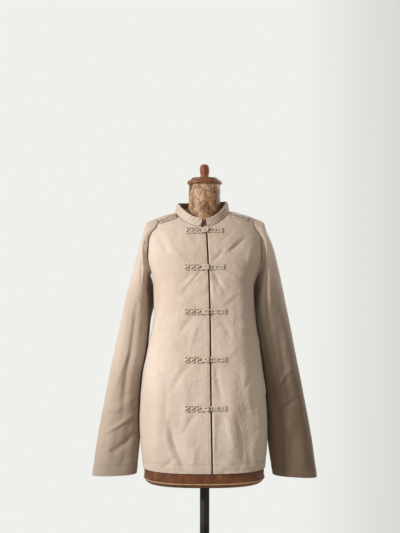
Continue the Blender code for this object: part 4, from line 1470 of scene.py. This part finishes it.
def tube(path: Points, radius: float, sides: int = 8, loop: bool = False) -> tuple[list, list]:
    """Swept round cord.

    Args:
        path: points in millimetres.
        radius: cord radius in millimetres.
        sides: corners of the section.
        loop: whether the path closes on itself.

    Returns:
        Points and faces, with round ends where it is open.
    """
    path = np.asarray(path, float)
    count = len(path)
    if loop:
        tangent = unit(np.roll(path, -1, axis=0) - np.roll(path, 1, axis=0))
    else:
        tangent = unit(np.gradient(path, axis=0))
    side = unit(np.cross(tangent, [0, 1.0, 0.001]))
    over = np.cross(side, tangent)
    turns = np.arange(sides) * 2 * math.pi / sides
    rings = (path[:, None] + radius * (np.cos(turns)[None, :, None] * side[:, None]
                                       + np.sin(turns)[None, :, None] * over[:, None]))
    verts = list(rings.reshape(-1, 3))
    faces = []
    for r in range(count if loop else count - 1):
        n = (r + 1) % count
        for c in range(sides):
            d = (c + 1) % sides
            faces.append((r * sides + c, r * sides + d, n * sides + d, n * sides + c))
    if not loop:
        for row, point, turn in ((0, path[0], -tangent[0]), (count - 1, path[-1], tangent[-1])):
            tip = len(verts)
            verts.append(point + turn * radius * 0.6)
            for c in range(sides):
                faces.append((row * sides + c, row * sides + (c + 1) % sides, tip))
    return verts, faces


def join_cords(name: str, tubes: list[tuple[list, list]],
               material: bpy.types.Material) -> bpy.types.Object:
    """Gather swept cords into one piece.

    Args:
        name: piece name.
        tubes: points and faces of each cord.
        material: their finish.

    Returns:
        The piece.
    """
    verts, faces = [], []
    for points, polygons in tubes:
        start = len(verts)
        verts += [p * MM for p in points]
        faces += [tuple(start + i for i in face) for face in polygons]
    return mesh_object(name, np.array(verts), faces, material, 80)


@dataclass
class Frog:
    """One closure: three figures of eight and a knot on one side, two cords opposite.

    left and knot are the ends of its knot half, loop and right those of its loop half, all in x.
    """

    number: int
    z: float
    left: float = -48.5
    knot: float = 10.0
    loop: float = 12.5
    right: float = 50.5
    cord: float = 1.5         # radius
    eights: int = 3
    eight: tuple[float, float] = (4.7, 6.9)   # half width and half height of a figure of eight
    wraps: int = 3
    wind: float = 5.4         # radius of the knot's turns
    bars: int = 3

    def path(self, x: Points, z: Points, lift: Points) -> Points:
        """Points above the front, z counting from the frog's centre."""
        return on_front(x, self.z + z, lift)

    def knot_half(self) -> bpy.types.Object:
        """Make upright figures of eight, a wrap of V turns, and the wound knot at the slit.

        Returns:
            The knot half.
        """
        tubes = []
        start, end = self.left + 5.6, self.knot - 25.5
        a = np.linspace(0, 2 * math.pi, 44)[:-1]
        for x in np.linspace(start, end, self.eights):
            tubes.append(tube(self.path(x + self.eight[0] * np.sin(2 * a),
                                        self.eight[1] * np.cos(a), 2.5 + 1.3 * np.sin(a)),
                              self.cord, 8, True))
        reach = np.linspace(start - 4, end + 6, 24)
        tubes.append(tube(self.path(reach, 0.5 * np.sin(reach), 1.4 + 0 * reach),
                          self.cord * 0.8, 7))
        t = np.linspace(-1, 1, 20)
        for turn in range(self.wraps):
            x = self.knot - 19.5 + 3.1 * turn + 4.2 * (1 - np.abs(t) ** 1.5)
            tubes.append(tube(self.path(x, (7.0 - 0.9 * turn) * t, 2.9 + 1.2 * (1 - t * t)),
                              self.cord, 8))
        middle = self.knot - 6.2
        for k, tilt in enumerate((-0.9, -0.3, 0.35, 1.0)):
            b = np.linspace(0, 2 * math.pi, 30)[:-1]
            round_x = self.wind * np.cos(b)
            round_z = self.wind * np.sin(b) * (0.35 + 0.2 * k)
            x = middle + round_x * math.cos(tilt) - round_z * math.sin(tilt)
            z = round_x * math.sin(tilt) + round_z * math.cos(tilt)
            tubes.append(tube(self.path(x, z, 4.6 + 1.8 * np.cos(b + k) ** 2 + 0.3 * k),
                              self.cord, 8, True))
        return join_cords(f"frog_{self.number}_cord_knot", tubes,
                         CordCotton(f"cord_cotton_{self.number}a").build())

    def loop_half(self) -> bpy.types.Object:
        """Make two straight cords bound by bars, which hold the loop over the knot.

        Returns:
            The loop half.
        """
        tubes = []
        t = np.linspace(0, 1, 40)
        x = lerp(self.loop - 4.5, self.right - 0.8, t)
        for sign in (-1, 1):
            spread = 3.7 + 1.2 * np.exp(-(t / 0.09) ** 2)
            tubes.append(tube(self.path(x, sign * spread, 2.0 + 1.6 * np.exp(-(t / 0.08) ** 2)),
                              self.cord * 1.05))
            tubes.append(tube(self.path(x[6:], sign * 1.3 + 0 * t[6:], 1.3 + 0 * t[6:]),
                              self.cord * 0.7, 7))
        for bar in np.linspace(self.loop + 4.0, self.right - 8.0, self.bars):
            z = np.linspace(-5.2, 5.2, 12)
            tubes.append(tube(self.path(bar + 0.5 * np.sin(z), z, 3.2 + 0.9 * np.cos(z / 3.4)),
                              self.cord * 0.55, 6))
        a = np.linspace(-1, 1, 12)
        for shift in (0.0, 2.4):
            tubes.append(tube(self.path(self.right - 1.6 - shift + 0 * a, 5.8 * a, 2.4 + 0 * a),
                              self.cord * 0.85))
        return join_cords(f"frog_{self.number}_cord_loop", tubes,
                         CordCotton(f"cord_cotton_{self.number}b").build())

    def build(self) -> list[bpy.types.Object]:
        """Make both halves.

        Returns:
            The two pieces.
        """
        pieces = []
        for half, piece in (("knot", self.knot_half()), ("loop", self.loop_half())):
            dress(piece, f"frog_{self.number}_{half}")
            pieces.append(piece)
        return pieces


@dataclass
class ShoulderStrip:
    """Strip of corded trim below a shoulder seam: two border cords and two crossing ones.

    A cord is given by its place across the strip, its radius and how far it swings.
    """

    place: StripPlace
    waves: float = 3.5
    lift: float = 1.3         # of the first cord off the cloth; each next one lies higher
    step: float = 0.25
    cords: tuple[tuple[float, float, float], ...] = (
        (-0.46, 1.1, 0.0), (-0.02, 1.15, 3.4), (0.02, 1.15, -3.4), (0.46, 1.1, 0.0))

    def build(self) -> bpy.types.Object:
        """Make the strip.

        Returns:
            The strip.
        """
        spot = self.place
        start, end = np.array([spot.x0, spot.z0]), np.array([spot.x1, spot.z1])
        down = unit(np.array([(end - start)[1], -(end - start)[0]]))
        down = down if down[1] < 0 else -down
        t = np.linspace(0.02, 0.98, 90)
        tubes = []
        for row, (offset, radius, swing) in enumerate(self.cords):
            across = offset * spot.width + swing * np.sin(t * 2 * math.pi * self.waves)
            line = lerp(start, end, t[:, None]) + down * across[:, None]
            path = on_front(line[:, 0], line[:, 1], self.lift + self.step * row)
            tubes.append(tube(path, radius, 7))
        piece = join_cords(f"shoulder_cord_{spot.word}", tubes,
                           CordCotton(f"cord_cotton_{spot.word}").build())
        dress(piece, f"shoulder_strip_{spot.word}")
        return piece


@dataclass
class DressForm:
    """Limbless torso and neck, with its turned cap, finial, pole and base.

    A profile gives radius and height of a turned piece, from the top down.
    """

    neck_top: float = 1434.7
    neck_from: float = 1376.0      # above this the section is the neck's alone
    lift: float = 3.4              # the form is read this much lower than the shirt
    around: int = 96
    rims: tuple[tuple[float, float], ...] = (
        (697, 12), (698, 8), (699.5, 5.5), (701.5, 3.2), (704, 1.6), (707, 0.5), (711, 0))
    piping_height: float = 708.5
    bulge: float = 1.1             # uneven papier-mache at the neck
    soften: float = 0.0006         # m, bevel of the turned pieces
    cap: tuple[tuple[float, float], ...] = (
        (0, 1451), (31.5, 1451), (33.0, 1450), (33.5, 1448.6), (33.5, 1446.4), (36.5, 1445.6),
        (40.5, 1444.2), (42.6, 1442.2), (43.4, 1439.8), (43.2, 1437.2), (42.2, 1435.4),
        (41.0, 1434.7), (0, 1434.7))
    finial: tuple[tuple[float, float], ...] = (
        (0, 1485.8), (1.2, 1485.8), (3.0, 1485.5), (6.2, 1484.5), (9.2, 1482.3), (11.2, 1479.2),
        (12.1, 1475.6), (12.3, 1471.0), (12.0, 1467.0), (11.2, 1462.8), (10.5, 1458.6),
        (10.4, 1455.4), (11.2, 1452.8), (11.2, 1451), (0, 1451))
    pole: tuple[tuple[float, float], ...] = ((0, 697), (11.9, 697), (11.9, 20), (0, 20))
    base: tuple[tuple[float, float], ...] = (
        (0, 20), (24, 20), (80, 19.2), (130, 18), (155, 16.6), (168, 15.0), (175, 12.6),
        (179, 9.2), (180, 6), (180, 0), (0, 0))

    def ring(self, z: float, inset: float) -> Points:
        """Section of the form at a height.

        Args:
            z: height.
            inset: how far it draws in at the rounded lower edge.

        Returns:
            Points round it.
        """
        angles = np.arange(self.around) * 360.0 / self.around
        read, ease = np.full(self.around, z + self.lift), float(EASE["side"](z)) + inset
        turn = (angles + 180) % 360 - 180
        half = np.where(turn < 0, BODY["left"](read), BODY["right"](read)) - ease
        depth = np.where(np.abs(turn) <= 90, BODY["front"](read), BODY["back"](read))
        depth = depth - float(EASE["depth"](z)) - inset
        x, y = section(angles, half, depth, BODY["power"](read))
        radius, neck = np.hypot(x, y), float(NECK(z))
        high = (1 + (neck / radius) ** 12) ** (1 / 12)
        factor = neck / radius if z > self.neck_from else high
        wrinkle = np.clip((z - 1340) / 30, 0, 1) * np.clip((self.neck_top - z) / 20, 0, 1)
        points = np.stack([x * factor, y * factor, np.full(self.around, z)], axis=-1)
        bulge = self.bulge * ripple(points, 6.6, 17) * wrinkle
        return points + unit(points * np.array([1, 1, 0])) * bulge[:, None]

    def torso(self) -> bpy.types.Object:
        """Loft the torso and neck, whose section changes with height.

        Returns:
            The torso.
        """
        heights = [*np.arange(724, 1330, 14), *np.arange(1332, self.neck_top - 2, 3.5)]
        levels = [*self.rims, *((float(z), 0.0) for z in heights)]
        rings = [self.ring(z, inset) for z, inset in levels]
        rings.append(self.ring(self.neck_top, 0.0))
        faces = []
        for r in range(len(rings) - 1):
            for c in range(self.around):
                d = (c + 1) % self.around
                faces.append((r * self.around + c, r * self.around + d,
                              (r + 1) * self.around + d, (r + 1) * self.around + c))
        faces.append(tuple(range(self.around)))
        faces.append(tuple(range((len(rings) - 1) * self.around, len(rings) * self.around)))
        piece = mesh_object("form_cover_skin", np.concatenate(rings) * MM, faces,
                            AgedCover().build(), 50)
        dress(piece, "form_torso")
        return piece

    def piping(self) -> bpy.types.Object:
        """Make the pale piping along the lower edge.

        Returns:
            The piping.
        """
        ring = self.ring(self.piping_height, 0.0)
        verts, faces = tube(ring + unit(ring * np.array([1, 1, 0])) * 0.5, 1.5, 8, True)
        piece = mesh_object("form_piping", np.array(verts) * MM, faces,
                            CordCotton("piping_cotton", "C9A57A", "8C6238").build(), 80)
        dress(piece, None)
        return piece

    def turned(self, name: str, node: str, profile: tuple[tuple[float, float], ...],
               material: bpy.types.Material) -> bpy.types.Object:
        """Body of revolution with softened corners.

        Args:
            name: piece name.
            node: CAD node that it stands for.
            profile: radius and height from the top down.
            material: its finish.

        Returns:
            The piece.
        """
        bpy.ops.object.select_all(action="DESELECT")
        radius, height = profile[1]
        bpy.ops.mesh.primitive_circle_add(vertices=self.around, radius=radius * MM,
                                          fill_type="NGON", location=(0, 0, height * MM))
        obj = bpy.context.object
        obj.name = obj.data.name = name
        obj.data.materials.append(material)
        bpy.ops.object.transform_apply(location=True)
        bpy.ops.object.mode_set(mode="EDIT")
        bpy.ops.mesh.select_all(action="SELECT")
        for wide, low in profile[2:-1]:
            bpy.ops.mesh.extrude_region_move(
                TRANSFORM_OT_translate={"value": (0, 0, (low - height) * MM)})
            bpy.ops.transform.resize(value=(wide / radius, wide / radius, 1),
                                     center_override=(0, 0, low * MM))
            radius, height = wide, low
        bpy.ops.mesh.select_all(action="SELECT")
        bpy.ops.mesh.normals_make_consistent(inside=False)
        bpy.ops.object.mode_set(mode="OBJECT")
        bevel = obj.modifiers.new("soften", "BEVEL")
        bevel.width, bevel.segments, bevel.angle_limit = self.soften, 2, math.radians(25)
        bpy.ops.object.modifier_apply(modifier="soften")
        bpy.ops.object.shade_smooth_by_angle(angle=math.radians(40))
        dress(obj, node)
        return obj

    def build(self) -> list[bpy.types.Object]:
        """Make the form and its stand.

        Returns:
            The six pieces.
        """
        return [
            self.torso(),
            self.piping(),
            self.turned("cap_turned", "neck_cap", self.cap, TurnedWood("waxed_wood_cap").build()),
            self.turned("finial_turned", "finial", self.finial,
                        TurnedWood("waxed_wood_finial", "B0693C", "7E4727").build()),
            self.turned("pole_tube", "pole", self.pole, DarkSteel("steel_pole").build()),
            self.turned("base_plate", "base", self.base, DarkSteel("steel_base").build()),
        ]


@dataclass
class Studio:
    """Pale floor, soft light and the camera, in metres and watts."""

    distance: float = 2.2
    height: float = 1.230
    side: float = -0.0115
    lens: float = 59.44       # mm
    key: tuple[float, float, float] = (-2.3, -1.7, 2.0)
    key_power: float = 375.0
    key_radius: float = 0.16
    fill: tuple[float, float, float] = (-2.6, -1.2, 2.2)
    fill_power: float = 4.0
    rear: tuple[float, float, float] = (2.3, 2.0, 2.3)
    rear_power: float = 34.0
    spread: float = 24.0      # degrees of the key light's cone
    aim: tuple[float, float, float] = (0.03, -0.1, 1.03)
    floor_size: float = 3.6
    floor_drop: float = 0.0005
    floor_colour: str = "E8E8E4"
    sky: tuple[tuple[float, str], ...] = (   # from behind the camera to the wall in its view
        (0.0, "B2ADA6"), (0.3, "B4AFA8"), (0.6, "D2D0CB"), (0.85, "EFF0EC"))

    def light(self, name: str, kind: Lamp, place: tuple[float, float, float], size: float,
              power: float) -> None:
        """Soft light aimed at the shirt.

        Args:
            name: light name.
            kind: kind of lamp.
            place: where it stands.
            size: side or radius.
            power: watts.
        """
        data = bpy.data.lights.new(name, kind.value)
        data.energy = power
        if kind is Lamp.SOFT_BOX:
            data.shape, data.size = "SQUARE", size
        else:
            data.shadow_soft_size = size
            data.spot_size, data.spot_blend = math.radians(self.spread), 1.0
        obj = bpy.data.objects.new(name, data)
        obj.location = place
        aim = Vector(self.aim) - Vector(place)
        obj.rotation_euler = aim.to_track_quat("-Z", "Y").to_euler()
        bpy.context.scene.collection.objects.link(obj)

    def build(self) -> None:
        """Set the studio up."""
        bpy.ops.object.select_all(action="DESELECT")
        bpy.ops.mesh.primitive_plane_add(size=self.floor_size, location=(0, 0, -self.floor_drop))
        floor = bpy.context.object
        floor.name = "studio_floor"
        # painted board: matt and even
        material, _ = new_material("pale_floor", {"Base Color": hex_colour(self.floor_colour),
                                                  "Roughness": 0.9})
        floor.data.materials.append(material)
        world = bpy.data.worlds.new("studio")
        bpy.context.scene.world = world
        world.use_nodes = True
        place = add_node(world, "TexCoord")
        split = add_node(world, "SeparateXYZ", links={0: place.outputs["Generated"]})
        along = add_node(world, "MapRange", {1: -1.0, 2: 1.0}, {0: split.outputs["Y"]})
        across = add_node(world, "MapRange", {1: 0.03, 2: 0.3, 3: 0.0, 4: 0.45},
                          {0: split.outputs["X"]})
        level = add_node(world, "Math", {"operation": "SUBTRACT"},
                         {0: along.outputs[0], 1: across.outputs[0]})
        sky = add_node(world, "ValToRGB", {"stops": self.sky}, {0: level.outputs[0]})
        world.node_tree.links.new(sky.outputs[0], world.node_tree.nodes["Background"].inputs[0])
        bpy.context.scene.view_settings.view_transform = "Standard"
        self.light("key", Lamp.FADING, self.key, self.key_radius, self.key_power)
        self.light("fill", Lamp.SOFT_BOX, self.fill, 1.4, self.fill_power)
        self.light("rear", Lamp.SOFT_BOX, self.rear, 1.0, self.rear_power)
        data = bpy.data.cameras.new("view")
        data.sensor_width, data.lens = 36.0, self.lens
        camera = bpy.data.objects.new("view", data)
        camera.location = (self.side, -self.distance, self.height)
        camera.rotation_euler = (math.pi / 2, 0, 0)
        bpy.context.scene.collection.objects.link(camera)
        bpy.context.scene.camera = camera


def main() -> None:
    """Build every piece and the studio."""
    logging.basicConfig(level=logging.INFO)
    body = ShirtBody()
    body.build()
    # each sleeve's tones: painted shade down it and beside the body, partly dirt and partly painted
    # shade at its seam
    Sleeve(-1, "left", lean=0.1, tone=0.4, body_side_shade=0.75, seam_tone=0.6, roll=1.3).build()
    Sleeve(1, "right", lean=0.4, tone=0.86, body_side_shade=0.0, seam_tone=0.15, roll=0.65,
           tone_reach=0.6, paler_back=0.14).build()
    Collar().build(body)
    Frog(1, 1316.5, left=-46.0, knot=9.0, loop=11.2, right=42.5).build()
    Frog(2, 1229, right=45.5).build()
    for number, z in enumerate((1122.5, 1007.5, 891.5), 3):
        Frog(number, z).build()
    for place in STRIPS:
        ShoulderStrip(place).build()
    DressForm().build()
    Studio().build()


if __name__ == "__main__":
    main()
